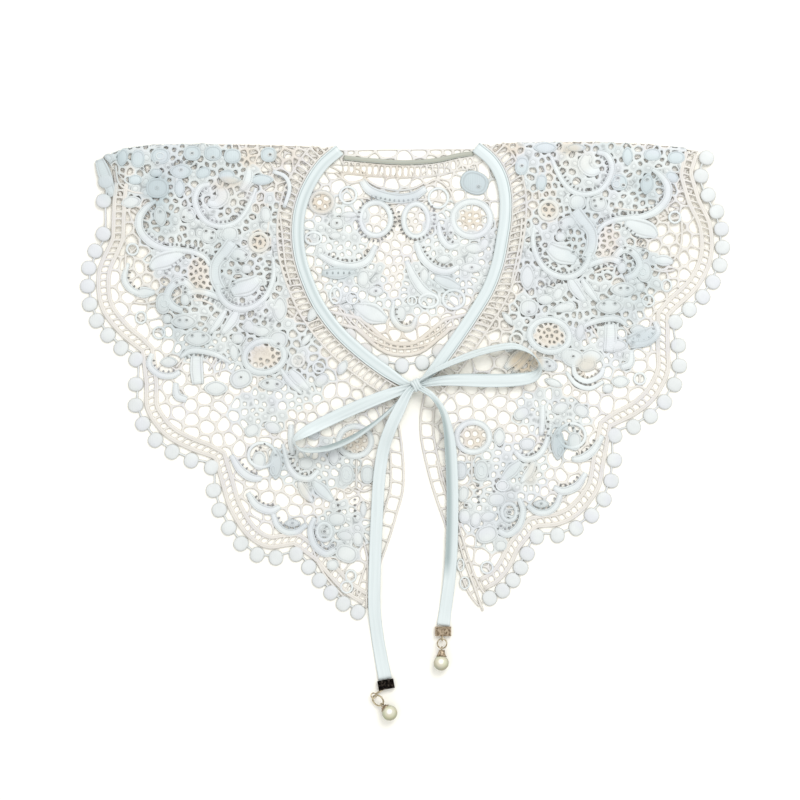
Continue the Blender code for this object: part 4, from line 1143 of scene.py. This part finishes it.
def makeFront(table, rest):
    walk = table["walk"]
    lace = newLace()
    rows = [(count, points[::walk]) for count, points in table["scallops"]][::walk]
    cord, beads = scallopEdge(rows)
    bound = evenly(curveThrough(table["binding"]), linePoints["binding"])
    neck = offsetLine(bound, -walk * edgeShape["neckInset"])[::-walk]
    loops = evenly(curveThrough(table["inner"]), linePoints["inner"])[::-walk]
    crease = evenly([Vector(point) for point in table["fold"]][::-1], linePoints["fold"])
    beyond = offsetLine(crease, -edgeShape["foldOver"])
    lines = [loops, neck, beyond] if walk == 1 else [beyond, neck, loops]
    outline = cord + [point for line in lines for point in line]
    edges = (
        (cord, edgeShape["bandWidth"], edgeShape["rungPitch"]),
        (loops, edgeShape["loopWidth"], edgeShape["loopPitch"]),
        (neck, edgeShape["neckWidth"], edgeShape["neckPitch"]),
    )
    depths = {id(line): width for line, width, _ in edges}
    chains = [(line, depths.get(id(line), 0.0)) for line in [cord] + lines]
    region = netRegion(outline, chains)
    count = addNet(lace, table, region, [bandCells(line, 0, width, pitch) for line, width, pitch in edges])
    for line, far, _ in edges:
        half, profile = edgeShape["innerCordHalf"], cordProfile
        if line is cord:
            half, profile = edgeShape["cordHalf"], flatCordProfile
        for reach in (0.5, far):
            path = evenly(offsetLine(line, reach), max(3, round(lengthOf(line) / outlineStep)))
            addPad(lace, path, half, 0.0, edgeShape["cordTop"], netSlot, profile)
    addSatin(lace, table)
    addBeads(lace, beads)
    print(table["name"], "net cells", count)
    return finishLace(lace, table, outline, rest, crease)


(backPiece, backSize, backCut), backOutline = makeBack()
for table, side in ((leftLace, "left"), (rightLace, "right")):
    makeFront(gathered(table, shared[side]), [tuple(point) for point in backOutline])

print("lace made")

# Ribbons: satin ribbon swept along its table, x, y, height, roll and width. Roll 0 lies flat, roll 90
# stands on its edge. A crease: place across from -1 to 1, width, depth, how far along it starts and ends,
# and its shade.

ribbonThick = 0.45
ribbonCut = 10.0  # the ribbon's own width; it shows a little less where its edges curl
# hollow is painted shade for creases, pleats and edges; shaded is the colour of a tape painted in shade
ribbonColours = {"face": "#d4dddd", "hollow": "#93a3a3", "shaded": "#a9aa9c"}
ribPitch = 0.7  # mm, coarser than the real 0.2 mm so that it shows
ribbonPleat = {"depth": 0.16, "waves": 2.5, "shade": 0.5, "rim": 0.99, "rimShade": 0.35}


# Polyester satin: smooth and glossy along its length, with fine ribs of weft across; lighter streaks are
# painted sheen, and the shade attribute paints shade into creases, pleats and edges.
def ribbonMaterial(name, faceColour):
    material, tree = newMaterial(name)
    along = addNode(tree, "ShaderNodeUVMap", {"uv_map": "ribbonUV"}).outputs[0]
    shade = addNode(tree, "ShaderNodeAttribute", {"attribute_name": "shade"}).outputs["Fac"]
    drawn = addNode(tree, "ShaderNodeMapping", Vector=along, Scale=(0.03, 0.8, 1.0))
    glossStreak = addNode(tree, "ShaderNodeTexNoise", Vector=drawn.outputs[0], Scale=1.0, Detail=2.0)
    rib = addNode(
        tree,
        "ShaderNodeTexWave",
        {"wave_type": "BANDS", "bands_direction": "X"},
        Vector=along,
        Scale=2 * math.pi / 20 / ribPitch,
        Distortion=0.4,
    )
    # painted sheen: the base colour is lighter along the glossy streaks
    face = mixed(tree, glossStreak.outputs["Fac"], dimmed(faceColour, 1.08), dimmed(faceColour, 0.9))
    # painted shade: the shade attribute mixes toward the hollow colour
    colour = mixed(tree, shade, face, fromHex(ribbonColours["hollow"]))
    rough = addNode(tree, "ShaderNodeMapRange", Value=glossStreak.outputs["Fac"], To_Min=0.28, To_Max=0.42)
    bump = addNode(tree, "ShaderNodeBump", Height=rib.outputs["Fac"], Strength=0.12, Distance=0.0002)
    finishMaterial(tree, colour, rough.outputs[0], bump.outputs[0], Sheen_Weight=0.15)
    return material


ribbonSatin = ribbonMaterial("polyesterSatinRibbon", ribbonColours["face"])
# the back binding's tape is painted in shade, darker and greyer, for the shade under the neck edge
shadedSatin = ribbonMaterial("paintedShadeSatinTape", ribbonColours["shaded"])


def sweptShell(table, sections, loop=False):
    # closes rows of (point, shade, place on the cloth) into one mesh
    form = bmesh.new()
    shade = form.verts.layers.float.new("shade")
    cloth = form.loops.layers.uv.new("ribbonUV")
    rows = []
    spots = {}
    for section in sections:
        row = []
        for point, dark, spot in section:
            corner = form.verts.new((point + Vector((*tableShift, 0))) * mm)
            corner[shade] = dark
            spots[corner] = spot
            row.append(corner)
        rows.append(row)
    count = len(rows[0])
    for first, second in zip(rows, rows[1:] + rows[:1] if loop else rows[1:]):
        for k in range(count):
            n = (k + 1) % count
            form.faces.new((first[k], first[n], second[n], second[k]))
    if not loop:
        form.faces.new(rows[0])
        form.faces.new(rows[-1])
    bmesh.ops.recalc_face_normals(form, faces=form.faces)
    for face in form.faces:
        face.smooth = len(face.verts) == 4
        for corner in face.loops:
            corner[cloth].uv = spots[corner.vert]
    mesh = bpy.data.meshes.new(table["name"])
    form.to_mesh(mesh)
    form.free()
    mesh.materials.append(table.get("cloth", ribbonSatin))
    piece = bpy.data.objects.new(table["name"], mesh)
    bpy.context.scene.collection.objects.link(piece)
    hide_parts(table["cadNode"])
    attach(piece, "collar")
    return piece


def creaseDepth(table, across, along):
    depth = table["curl"] * across**4
    shade = 0.0
    for place, width, deep, start, end, dark in table["creases"]:
        fade = min(1.0, max(0.0, (along - start) / 0.08)) * min(1.0, max(0.0, (end - along) / 0.08))
        hollow = math.exp(-(((across - place) / width) ** 2)) * fade
        depth += deep * hollow
        shade = max(shade, dark * hollow)
    return depth, shade


def ribbonStrip(table):
    path = curveThrough([row[:3] for row in table["rows"]], 6)
    turns = curveThrough([row[3:] for row in table["rows"]], 6)
    total = lengthOf(path)
    full = max(row[4] for row in table["rows"])
    sections = []
    walked = 0.0
    steps = 14
    for index, centre in enumerate(path):
        ahead, behind = path[min(index + 1, len(path) - 1)], path[max(index - 1, 0)]
        walked += (centre - path[index - 1]).length if index else 0.0
        along = (ahead - behind).normalized()
        level = Vector((-along.y, along.x, 0.0)).normalized()
        roll = math.radians(turns[index].x)
        across = level * math.cos(roll) + along.cross(level) * math.sin(roll)
        facing = along.cross(across)
        half = turns[index].y / 2
        pleat = ribbonPleat["depth"] * (full - 2 * half)
        upper, lower = [], []
        for step in range(steps + 1):
            u = 2 * step / steps - 1
            depth, shade = creaseDepth(table, u, walked / total)
            wave = math.cos(math.pi * ribbonPleat["waves"] * u)
            depth += pleat * wave
            folded = ribbonPleat["shade"] * min(1.0, pleat) * (0.5 - 0.5 * wave)
            shade = max(shade, folded, ribbonPleat["rimShade"] * (abs(u) > ribbonPleat["rim"]))
            spot = centre + across * u * half + facing * depth
            wall = facing * ribbonThick / 2
            upper.append((spot + wall, shade, (walked, u * full / 2)))
            lower.append((spot - wall, shade, (walked, u * full / 2)))
        sections.append(upper + lower[::-1])
    return sweptShell({**table, "flat": (ribbonCut, total)}, sections)


bindingSection = (  # across from the lace side to the folded side, height, shade
    (1.0, 0.8, 0.3), (0.96, 0.97, 0.0), (0.84, 1.0, 0.0), (0.72, 0.82, 0.75), (0.58, 0.93, 0.1),
    (0.2, 1.0, 0.0),
    (-0.3, 0.99, 0.0), (-0.75, 0.9, 0.05), (-0.95, 0.7, 0.2), (-1.0, 0.45, 0.4), (-0.9, 0.1, 0.6),
    (0.0, 0.0, 0.6),
    (1.0, 0.0, 0.6), (1.0, 0.22, 0.8), (0.0, 0.22, 1.0), (-0.8, 0.3, 1.0), (-0.84, 0.48, 1.0),
    (-0.75, 0.66, 1.0), (0.2, 0.76, 1.0), (0.72, 0.58, 1.0), (0.9, 0.74, 0.8),
)


def boundEdge(table):
    line = evenly(curveThrough(table["line"]), 90)
    sections = []
    walked = 0.0
    for index, (point, normal) in enumerate(zip(line, leftNormals(line))):
        walked += (point - line[index - 1]).length if index else 0.0
        t = index / (len(line) - 1)
        narrow = 1 - table["taper"] * max(0.0, (t - 0.9) / 0.1)
        ripple = 0.12 * math.sin(walked / 9.0) + 0.08 * math.sin(walked / 3.7)
        section = []
        for across, high, shade in bindingSection:
            # a lengthwise crease, sunk a little and painted in shade
            shadedCrease = table["shadedCrease"] * math.exp(-(((across + 0.25) / 0.28) ** 2)) * (high > 0.8)
            shadedCrease *= 0.5 + 0.5 * math.sin(math.pi * min(1.0, t * 1.2))
            spot = point + normal * table["laceSide"] * across * narrow * table["width"] / 2
            height = table["level"] + table["thick"] * (high - (0.22 * shadedCrease if high > 0.8 else 0.0))
            height += ripple * (high > 0.6) * table["thick"] / 4
            place = (walked, across * table["width"] / 2)
            section.append((Vector((*spot, height)), max(shade, shadedCrease), place))
        sections.append(section)
    return sweptShell({**table, "flat": (table["cut"], lengthOf(line))}, sections)


bindingLeft = {
    "name": "bindingLeft", "cadNode": "binding_left", "held": "folded", "restsOn": ["laceFrontLeft"],
    "line": leftLace["binding"] + ((6.0, 31.6),), "width": 8.6, "cut": 20.0, "level": 2.25, "thick": 1.8,
    "laceSide": -1, "taper": 0.45, "shadedCrease": 0.55,
}
bindingRight = {
    "name": "bindingRight", "cadNode": "binding_right", "held": "folded", "restsOn": ["laceFrontRight"],
    "line": rightLace["binding"], "width": 8.6, "cut": 20.0, "level": 2.25, "thick": 1.8, "laceSide": 1,
    "taper": 0.45, "shadedCrease": 0.18,
}
bindingBack = {
    "name": "bindingBack", "cadNode": "binding_back", "held": "folded", "restsOn": ["floor"],
    "line": backLace["neck"], "width": 3.4, "cut": 10.0, "level": 0.0, "thick": 1.9, "laceSide": -1,
    "taper": 0.0, "shadedCrease": 0.3, "cloth": shadedSatin,
}
bowLoopLeft = {
    "name": "bowLoopLeft", "cadNode": "bow_loop_left", "held": "folded",
    "restsOn": ["laceFrontLeft", "bowKnot"],
    "rows": (
        (6, 31.3, 6.9, 8, 4.2), (-1, 29, 6.3, 8, 6.4), (-12, 25.5, 5.9, 4, 8.2), (-30, 18.5, 5.6, 0, 9.0),
        (-50, 9.5, 5.4, 0, 9.0), (-66, 1.5, 6.0, 15, 8.6), (-76, -4.5, 7.6, 45, 8.4),
        (-79, -9.5, 9.0, 80, 8.4), (-72, -14.0, 9.0, 108, 8.4), (-55, -12.6, 8.8, 118, 8.4),
        (-38, -5.6, 8.4, 120, 8.0), (-22, 5.0, 7.4, 114, 6.0), (-10, 15.0, 5.9, 100, 3.8),
        (-3.5, 21.5, 5.6, 90, 3.0), (4, 29, 6.2, 88, 2.8),
    ),
    # the third crease has no depth: it only paints shade on the lower limb that stands on its edge
    "creases": ((0.55, 0.2, -0.3, 0.0, 0.35, 0.25), (-0.3, 0.3, 0.3, 0.05, 0.45, 0.12),
                (-0.6, 1.1, 0.0, 0.54, 1.0, 0.95)),
    "curl": 0.25,
}
bowLoopRight = {
    "name": "bowLoopRight", "cadNode": "bow_loop_right", "held": "folded",
    "restsOn": ["laceFrontRight", "bowKnot"],
    "rows": (
        (8.5, 34, 6.8, -80, 3.6), (22, 42.5, 8.0, -64, 6.0), (40, 51, 8.8, -58, 8.4),
        (60, 57.5, 9.0, -56, 8.6), (78, 60, 9.0, -60, 8.6), (91, 54.5, 9.0, -80, 8.6),
        (96.5, 45.5, 8.6, -100, 8.6), (92, 38.5, 7.2, -150, 8.6), (78, 36, 5.8, -178, 9.4),
        (60, 35.5, 5.4, -180, 9.6), (42, 36, 5.5, -180, 9.0), (25, 35.3, 5.8, -180, 7.0),
        (8, 32.4, 6.4, -180, 4.0),
    ),
    "creases": (
        (0.0, 0.35, 0.3, 0.0, 0.5, 0.1), (-0.5, 0.2, 0.3, 0.55, 1.0, 0.12),
        (0.95, 0.14, -0.2, 0.5, 0.98, 0.7),
    ),
    "curl": 0.25,
}
tailLeft = {
    "name": "tailLeft", "cadNode": "tail_left", "held": "laid", "restsOn": ["laceFrontLeft", "floor"],
    "rows": (
        (6, 31, 7.6, 10, 4.0), (1.5, 25.5, 8.6, 8, 6.4), (-4.5, 14, 8.6, 4, 8.4), (-11, 0, 7.0, 2, 8.8),
        (-15.5, -14, 4.3, 0, 8.8), (-18.5, -34, 3.1, 0, 8.8), (-20, -58, 2.9, 0, 8.8),
        (-21.2, -84, 2.9, 0, 8.8), (-22, -108, 2.9, 0, 8.8), (-22, -128, 1.9, 0, 8.8),
        (-20.2, -146, 0.8, 0, 8.8), (-17.2, -164, 0.7, 0, 9.2), (-14.2, -179.2, 1.6, 0, 9.4),
    ),
    "creases": (
        (0.35, 0.3, -0.3, 0.0, 0.3, 0.2), (-0.5, 0.25, -0.15, 0.15, 0.75, 0.08),
        (0.6, 0.2, 0.12, 0.5, 1.0, 0.06),
    ),
    "curl": 0.15,
}
tailRight = {
    "name": "tailRight", "cadNode": "tail_right", "held": "laid", "restsOn": ["laceFrontRight", "floor"],
    "rows": (
        (9, 31, 7.2, -20, 4.0), (13, 29, 8.4, -40, 5.2), (20, 24, 9.6, -54, 6.4), (27, 14, 9.4, -54, 7.6),
        (31, 0, 7.0, -38, 8.4), (33, -18, 4.3, -10, 8.6), (34, -42, 3.0, 0, 8.6), (34, -68, 2.9, 0, 8.6),
        (33.2, -92, 2.9, 0, 8.6), (31.4, -112, 1.9, 0, 8.6), (29, -130, 0.8, 0, 8.8),
        (27.6, -140.5, 1.6, 0, 9.2),
    ),
    "creases": ((-0.6, 0.6, -0.3, 0.02, 0.82, 0.95), (0.5, 0.2, 0.25, 0.0, 0.4, 0.1)),
    "curl": 0.15,
}

for table in (bindingLeft, bindingRight, bindingBack):
    boundEdge(table)

bowKnot = {
    "name": "bowKnot", "cadNode": "bow_knot", "held": "gathered", "restsOn": ["bindingLeft", "bindingRight"],
    "centre": (8.2, 32.3, 6.9), "turn": 28, "halfWidth": 3.4, "radii": (4.4, 2.75), "pleats": 3.5,
    "pleatDepth": 0.32, "flat": (10.0, 20.0),
}


def wrappedKnot(table):
    # a short ribbon drawn tight round the middle, gathered into pleats
    spin = math.radians(table["turn"])
    axis = Vector((math.cos(spin), math.sin(spin), 0))
    side = Vector((-math.sin(spin), math.cos(spin), 0))
    wide, tall = table["radii"]
    sections = []
    steps, around = 12, 36
    for index in range(around):
        angle = 2 * math.pi * index / around
        out = side * math.cos(angle) * wide + Vector((0, 0, math.sin(angle) * tall))
        outward = out.normalized()
        outer, inner = [], []
        for step in range(steps + 1):
            u = 2 * step / steps - 1
            wave = math.cos(math.pi * table["pleats"] * u + 0.5 * math.sin(angle))
            lift = table["pleatDepth"] * wave - 0.7 * u**4
            reach = table["halfWidth"] * (1 + 0.12 * math.cos(2 * angle))
            spot = Vector(table["centre"]) + axis * u * reach + out + outward * lift
            shade = 0.55 * (0.5 - 0.5 * wave) ** 2
            outer.append((spot, shade, (index * 0.66, u * 4.3)))
            inner.append((spot - outward * ribbonThick, 1.0, (index * 0.66, u * 4.3)))
        sections.append(outer + inner[::-1])
    return sweptShell(table, sections, loop=True)


wrappedKnot(bowKnot)
for table in (bowLoopLeft, bowLoopRight, tailLeft, tailRight):
    ribbonStrip(table)
print("ribbons made")

# Ribbon ends: crimped clamp with its wire loop, jump ring, bead cap with its eye, and the pearl

leftEnd = {
    "side": "left", "clamp": (-13.6, -183.0, 1.75), "turn": 10, "aside": -2.0, "ring": (-19.4, -194.2, 4.2),
    "ringRadius": 4.3, "heading": -48, "tilt": 36, "pearl": (-11.0, -203.0, 5.55), "pearlRadius": 5.5,
    "wire": 0.6, "neckWidth": 1.6,
}
rightEnd = {
    "side": "right", "clamp": (27.4, -144.8, 1.75), "turn": 0, "aside": -0.7, "ring": (26.6, -153.4, 3.2),
    "ringRadius": 3.4, "heading": -92, "tilt": 0, "pearl": (26.0, -167.2, 5.45), "pearlRadius": 5.4,
    "wire": 0.5, "neckWidth": 1.5,
}


def heading(degrees):
    return Vector((math.cos(math.radians(degrees)), math.sin(math.radians(degrees)), 0.0))


def onTable(point):
    return (Vector(point) + Vector((*tableShift, 0))) * mm


# Plated brass with a dark patina that wears off in patches; a pale zinc shows in the wear.
def patinaMetal(name, dark, bright, wear, rough):
    material, tree = newMaterial(name)
    place = addNode(tree, "ShaderNodeTexCoord").outputs["Object"]
    patch = addNode(tree, "ShaderNodeTexNoise", Vector=place, Scale=620.0, Detail=4.0, Roughness=0.65)
    grain = addNode(tree, "ShaderNodeTexNoise", Vector=place, Scale=2600.0, Detail=2.0)
    share = addNode(
        tree, "ShaderNodeMapRange", Value=patch.outputs["Fac"], From_Min=wear - 0.1, From_Max=wear + 0.1
    )
    colour = mixed(tree, share.outputs[0], fromHex(dark), fromHex(bright))
    gloss = addNode(tree, "ShaderNodeMapRange", Value=share.outputs[0], To_Min=rough + 0.15, To_Max=rough)
    bump = addNode(tree, "ShaderNodeBump", Height=grain.outputs["Fac"], Strength=0.25, Distance=0.0001)
    finishMaterial(tree, colour, gloss.outputs[0], bump.outputs[0], Metallic=1.0)
    return material


# Glass bead under pearl lacquer with a clear glossy coat: cream, with painted shade and reflection making it
# olive and darker away from the light, and a painted highlight toward it.
def pearlLacquer(name, radius, centre):
    material, tree = newMaterial(name)
    place = addNode(tree, "ShaderNodeTexCoord").outputs["Object"]
    paintedLightFrom = Vector((-0.05, 0.3, 0.95)).normalized()
    height = addNode(tree, "ShaderNodeVectorMath", {"operation": "DOT_PRODUCT"}, _0=place, _1=paintedLightFrom)
    middle = onTable(centre).dot(paintedLightFrom)
    stops = [middle + radius * part * mm for part in (0.3, 0.85, 0.9, 0.99)]
    value = height.outputs["Value"]
    # painted shade and reflection toward the rim, painted highlight near the top facing the light
    share = addNode(tree, "ShaderNodeMapRange", Value=value, From_Min=stops[0], From_Max=stops[1])
    paintedHighlight = addNode(tree, "ShaderNodeMapRange", Value=value, From_Min=stops[2], From_Max=stops[3])
    cloud = addNode(tree, "ShaderNodeTexNoise", Vector=place, Scale=220.0, Detail=2.0)
    body = mixed(tree, share.outputs[0], fromHex("#85835a"), fromHex("#cfccb2"))
    body = mixed(tree, paintedHighlight.outputs[0], body, fromHex("#fbfaf3"))
    colour = mixed(tree, 0.12, body, cloud.outputs["Color"])
    rough = addNode(tree, "ShaderNodeMapRange", Value=cloud.outputs["Fac"], To_Min=0.3, To_Max=0.4)
    finishMaterial(tree, colour, rough.outputs[0], None, Coat_Weight=0.35, Coat_Roughness=0.08)
    return material


# the left clamp's near-black colour is a painted dark reflection; its paler patches are wear
darkReflectionBrass = patinaMetal("darkReflectionBrass", "#0f0d0c", "#5a5048", 0.6, 0.4)
antiqueBrass = patinaMetal("antiqueBrass", "#6b5a45", "#bfae96", 0.47, 0.38)
ringBrass = patinaMetal("antiqueBrassWire", "#84745a", "#cabfa4", 0.47, 0.3)


def turnFrom(axis, direction):
    return Vector(axis).rotation_difference(Vector(direction)).to_euler()


def selectFaces(test):
    bpy.ops.mesh.select_all(action="DESELECT")
    form = bmesh.from_edit_mesh(bpy.context.object.data)
    for face in form.faces:
        face.select_set(test(face))
    bmesh.update_edit_mesh(bpy.context.object.data)


def freeze(smooth=False):
    piece = bpy.context.object
    bpy.ops.object.transform_apply(location=True, rotation=True, scale=True)
    if smooth:
        bpy.ops.object.shade_smooth()
    return piece


def wireRing(centre, major, minor, axis, steps=40):
    bpy.ops.mesh.primitive_torus_add(
        major_radius=major * mm, minor_radius=minor * mm, major_segments=steps, minor_segments=12,
        location=onTable(centre), rotation=turnFrom((0, 0, 1), axis),
    )
    return freeze(smooth=True)


def joined(pieces, materials, name, body, node):
    bpy.ops.object.select_all(action="DESELECT")
    for piece, material in zip(pieces, materials):
        piece.data.materials.append(material)
        piece.select_set(True)
    bpy.context.view_layer.objects.active = pieces[0]
    if len(pieces) > 1:
        bpy.ops.object.join()
    piece = pieces[0]
    piece.name = name
    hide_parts(node)
    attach(piece, body)
    return piece


clampShape = {
    "size": (11.6, 6.6, 3.2), "narrow": 0.86, "lip": 0.9, "ribs": 5, "ribDepth": 0.32, "ribInset": 0.12,
    "mouthLip": 0.7, "mouthDepth": 0.8, "rounding": 0.35,
}


def crimpedClamp(end):
    # a folded plate: narrower below, ribbed across the front where the crimping tool bit
    bpy.ops.mesh.primitive_cube_add(
        size=1.0, location=onTable(end["clamp"]), rotation=(0, 0, math.radians(end["turn"]))
    )
    bpy.context.object.scale = Vector(clampShape["size"]) * mm
    bpy.ops.object.transform_apply(location=False, rotation=False, scale=True)
    bpy.ops.object.mode_set(mode="EDIT")
    selectFaces(lambda face: face.normal.y < -0.9)
    bpy.ops.transform.resize(value=(clampShape["narrow"], 1, clampShape["narrow"]), orient_type="LOCAL")
    selectFaces(lambda face: face.normal.z > 0.9)
    bpy.ops.mesh.inset(thickness=clampShape["lip"] * mm)
    bpy.ops.mesh.extrude_region_move(TRANSFORM_OT_translate={"value": (0, 0, -clampShape["ribDepth"] * mm)})
    form = bmesh.from_edit_mesh(bpy.context.object.data)
    floorOf = [face for face in form.faces if face.select]
    across = [edge for edge in floorOf[0].edges if abs(edge.verts[0].co.y - edge.verts[1].co.y) < 0.001]
    bmesh.ops.subdivide_edges(form, edges=across, cuts=2 * clampShape["ribs"] - 2, use_grid_fill=True)
    bmesh.update_edit_mesh(bpy.context.object.data)
    deep = clampShape["size"][2] / 2 * mm - clampShape["ribDepth"] * mm * 1.3
    strips = []
    for face in form.faces:
        near = abs(face.calc_center_median().z - deep) < 0.0003
        if face.normal.z > 0.9 and near and face.calc_area() < 0.00001:
            strips.append(face)
    strips.sort(key=lambda face: face.calc_center_median().x)
    lifted = {face.index for face in strips[::2]}
    selectFaces(lambda face: face.index in lifted)
    bpy.ops.mesh.inset(thickness=clampShape["ribInset"] * mm, use_individual=True)
    rise = clampShape["ribDepth"] * mm * 0.9
    bpy.ops.mesh.extrude_region_move(TRANSFORM_OT_translate={"value": (0, 0, rise)})
    selectFaces(lambda face: face.normal.y > 0.9)
    bpy.ops.mesh.inset(thickness=clampShape["mouthLip"] * mm)
    inward = (0, -clampShape["mouthDepth"] * mm, 0)
    bpy.ops.mesh.extrude_region_move(TRANSFORM_OT_translate={"value": inward, "orient_type": "LOCAL"})
    bpy.ops.object.mode_set(mode="OBJECT")
    plate = bpy.context.object
    edge = plate.modifiers.new("rounded", "BEVEL")
    edge.width = clampShape["rounding"] * mm
    edge.segments = 2
    edge.limit_method = "ANGLE"
    bpy.ops.object.modifier_apply(modifier=edge.name)
    return freeze()


def taperedNeck(start, stop, wide, deep):
    middle = (start + stop) / 2
    along = (stop - start).normalized()
    bpy.ops.mesh.primitive_cylinder_add(
        vertices=20, radius=0.5, depth=1.0, location=onTable(middle), rotation=turnFrom((0, 0, 1), along)
    )
    neck = bpy.context.object
    neck.scale = (wide * mm, deep * mm, ((stop - start).length + 0.6) * mm)
    bpy.ops.object.transform_apply(location=False, rotation=False, scale=True)
    bpy.ops.object.mode_set(mode="EDIT")
    selectFaces(lambda face: face.normal.z < -0.9)
    bpy.ops.transform.resize(value=(1.6, 1.2, 1.0), orient_type="LOCAL")
    bpy.ops.object.mode_set(mode="OBJECT")
    return freeze(smooth=True)


def roundPearl(end, centre):
    bpy.ops.mesh.primitive_uv_sphere_add(
        segments=48, ring_count=32, radius=end["pearlRadius"] * mm, location=onTable(centre)
    )
    return freeze(smooth=True)


def flutedCap(start, stop, radii):
    # a cone whose rim opens into petals over the pearl
    along = (stop - start).normalized()
    bpy.ops.mesh.primitive_cone_add(
        vertices=24, radius1=radii[0] * mm, radius2=radii[1] * mm, depth=(stop - start).length * mm,
        location=onTable((start + stop) / 2), rotation=turnFrom((0, 0, -1), along),
    )
    bpy.ops.object.mode_set(mode="EDIT")
    bpy.ops.mesh.select_all(action="SELECT")
    selectFaces(lambda face: abs(face.normal.z) < 0.8)
    bpy.ops.mesh.subdivide(number_cuts=2)
    form = bmesh.from_edit_mesh(bpy.context.object.data)
    bottom = min(vertex.co.z for vertex in form.verts)
    height = max(vertex.co.z for vertex in form.verts) - bottom
    for vertex in form.verts:
        down = 1 - (vertex.co.z - bottom) / height
        angle = math.atan2(vertex.co.y, vertex.co.x)
        swell = 1 + down * (0.08 + 0.1 * math.cos(8 * angle)) - 0.14 * math.sin(math.pi * down)
        vertex.co.x *= swell
        vertex.co.y *= swell
    bmesh.update_edit_mesh(bpy.context.object.data)
    bpy.ops.object.mode_set(mode="OBJECT")
    return freeze(smooth=True)


# Loop and eye: middle radius, wire radius. The cap starts on the eye and sits over the pearl.
endShape = {
    "loop": (1.9, 0.45), "slack": 0.35, "eye": (1.4, 0.4), "eyeSlack": 0.15, "footDrop": 2.5,
    "capStart": 1.3, "capSeat": 0.86, "capRadii": (3.3, 2.1),
}


def ribbonEnd(end, clampMetal):
    side = end["side"]
    ringCentre, pearlCentre = Vector(end["ring"]), Vector(end["pearl"])
    run = heading(end["heading"])
    sideways = run.cross(upAxis)
    lean = math.radians(end["tilt"])
    axis = upAxis * math.cos(lean) + sideways * math.sin(lean)
    wire = run.cross(axis)
    upper = ringCentre - run * (end["ringRadius"] + endShape["slack"])
    lower = ringCentre + run * end["ringRadius"]
    toward = (pearlCentre - lower).normalized()
    eye = lower + toward * endShape["eyeSlack"]

    foot = Vector(end["clamp"]) + heading(end["turn"] - 90) * endShape["footDrop"]
    foot = foot + heading(end["turn"]) * end["aside"]
    down = (upper - foot).normalized()
    clamp = crimpedClamp(end)
    loop = wireRing(upper, *endShape["loop"], (wire - down * wire.dot(down)).normalized(), 32)
    neck = taperedNeck(foot, upper - down * endShape["loop"][0], end["neckWidth"], 1.0)
    metals = (clampMetal, ringBrass, ringBrass)
    joined([clamp, loop, neck], metals, side + "Clamp", "collar", side + "_clamp")
    ring = wireRing(ringCentre, end["ringRadius"], end["wire"], axis)
    joined([ring], [ringBrass], side + "JumpRing", side + "_ring", side + "_jump_ring")

    start = eye + toward * endShape["capStart"]
    stop = pearlCentre - toward * end["pearlRadius"] * endShape["capSeat"]
    cap = flutedCap(start, stop, endShape["capRadii"])
    eyeRing = wireRing(eye, *endShape["eye"], (wire - toward * wire.dot(toward)).normalized(), 28)
    metals = (antiqueBrass, ringBrass)
    joined([cap, eyeRing], metals, side + "BeadCap", side + "_drop", side + "_bead_cap")
    lacquer = pearlLacquer(side + "PearlLacquer", end["pearlRadius"], pearlCentre)
    pearl = roundPearl(end, pearlCentre)
    joined([pearl], [lacquer], side + "Pearl", side + "_drop", side + "_pearl")


ribbonEnd(leftEnd, darkReflectionBrass)
ribbonEnd(rightEnd, antiqueBrass)
print("ribbon ends made")

# The table, the light and the camera

view = {"middle": (-3.85, 21.85), "width": 576.0, "distance": 1.8, "sensor": 36.0}  # distance in metres

bpy.ops.mesh.primitive_plane_add(size=6.0)
floor = bpy.context.object
floor.name = "floor"
paper, tree = newMaterial("whitePaper")
finishMaterial(tree, fromHex("#fdfbf3"), 0.9, None)
floor.data.materials.append(paper)

world = bpy.data.worlds.new("softRoom")
world.use_nodes = True
world.node_tree.nodes["Background"].inputs["Color"].default_value = fromHex("#ffffff")
world.node_tree.nodes["Background"].inputs["Strength"].default_value = 0.97
bpy.context.scene.world = world


def areaLight(name, place, size, power, colour):
    lamp = bpy.data.lights.new(name, "AREA")
    lamp.size = size
    lamp.energy = power
    lamp.color = fromHex(colour)[:3]
    holder = bpy.data.objects.new(name, lamp)
    holder.location = place
    holder.rotation_euler = (-Vector(place)).to_track_quat("-Z", "Y").to_euler()
    bpy.context.scene.collection.objects.link(holder)


# place and size in metres
areaLight("windowLight", (0.55, 1.1, 1.5), 0.9, 16.0, "#ffffff")

camera = bpy.data.cameras.new("camera")
camera.sensor_width = view["sensor"]
camera.lens = view["sensor"] * view["distance"] / (view["width"] * mm)
eye = bpy.data.objects.new("camera", camera)
eye.location = (view["middle"][0] * mm, view["middle"][1] * mm, view["distance"])
bpy.context.scene.collection.objects.link(eye)
bpy.context.scene.camera = eye
bpy.context.scene.view_settings.view_transform = "Standard"
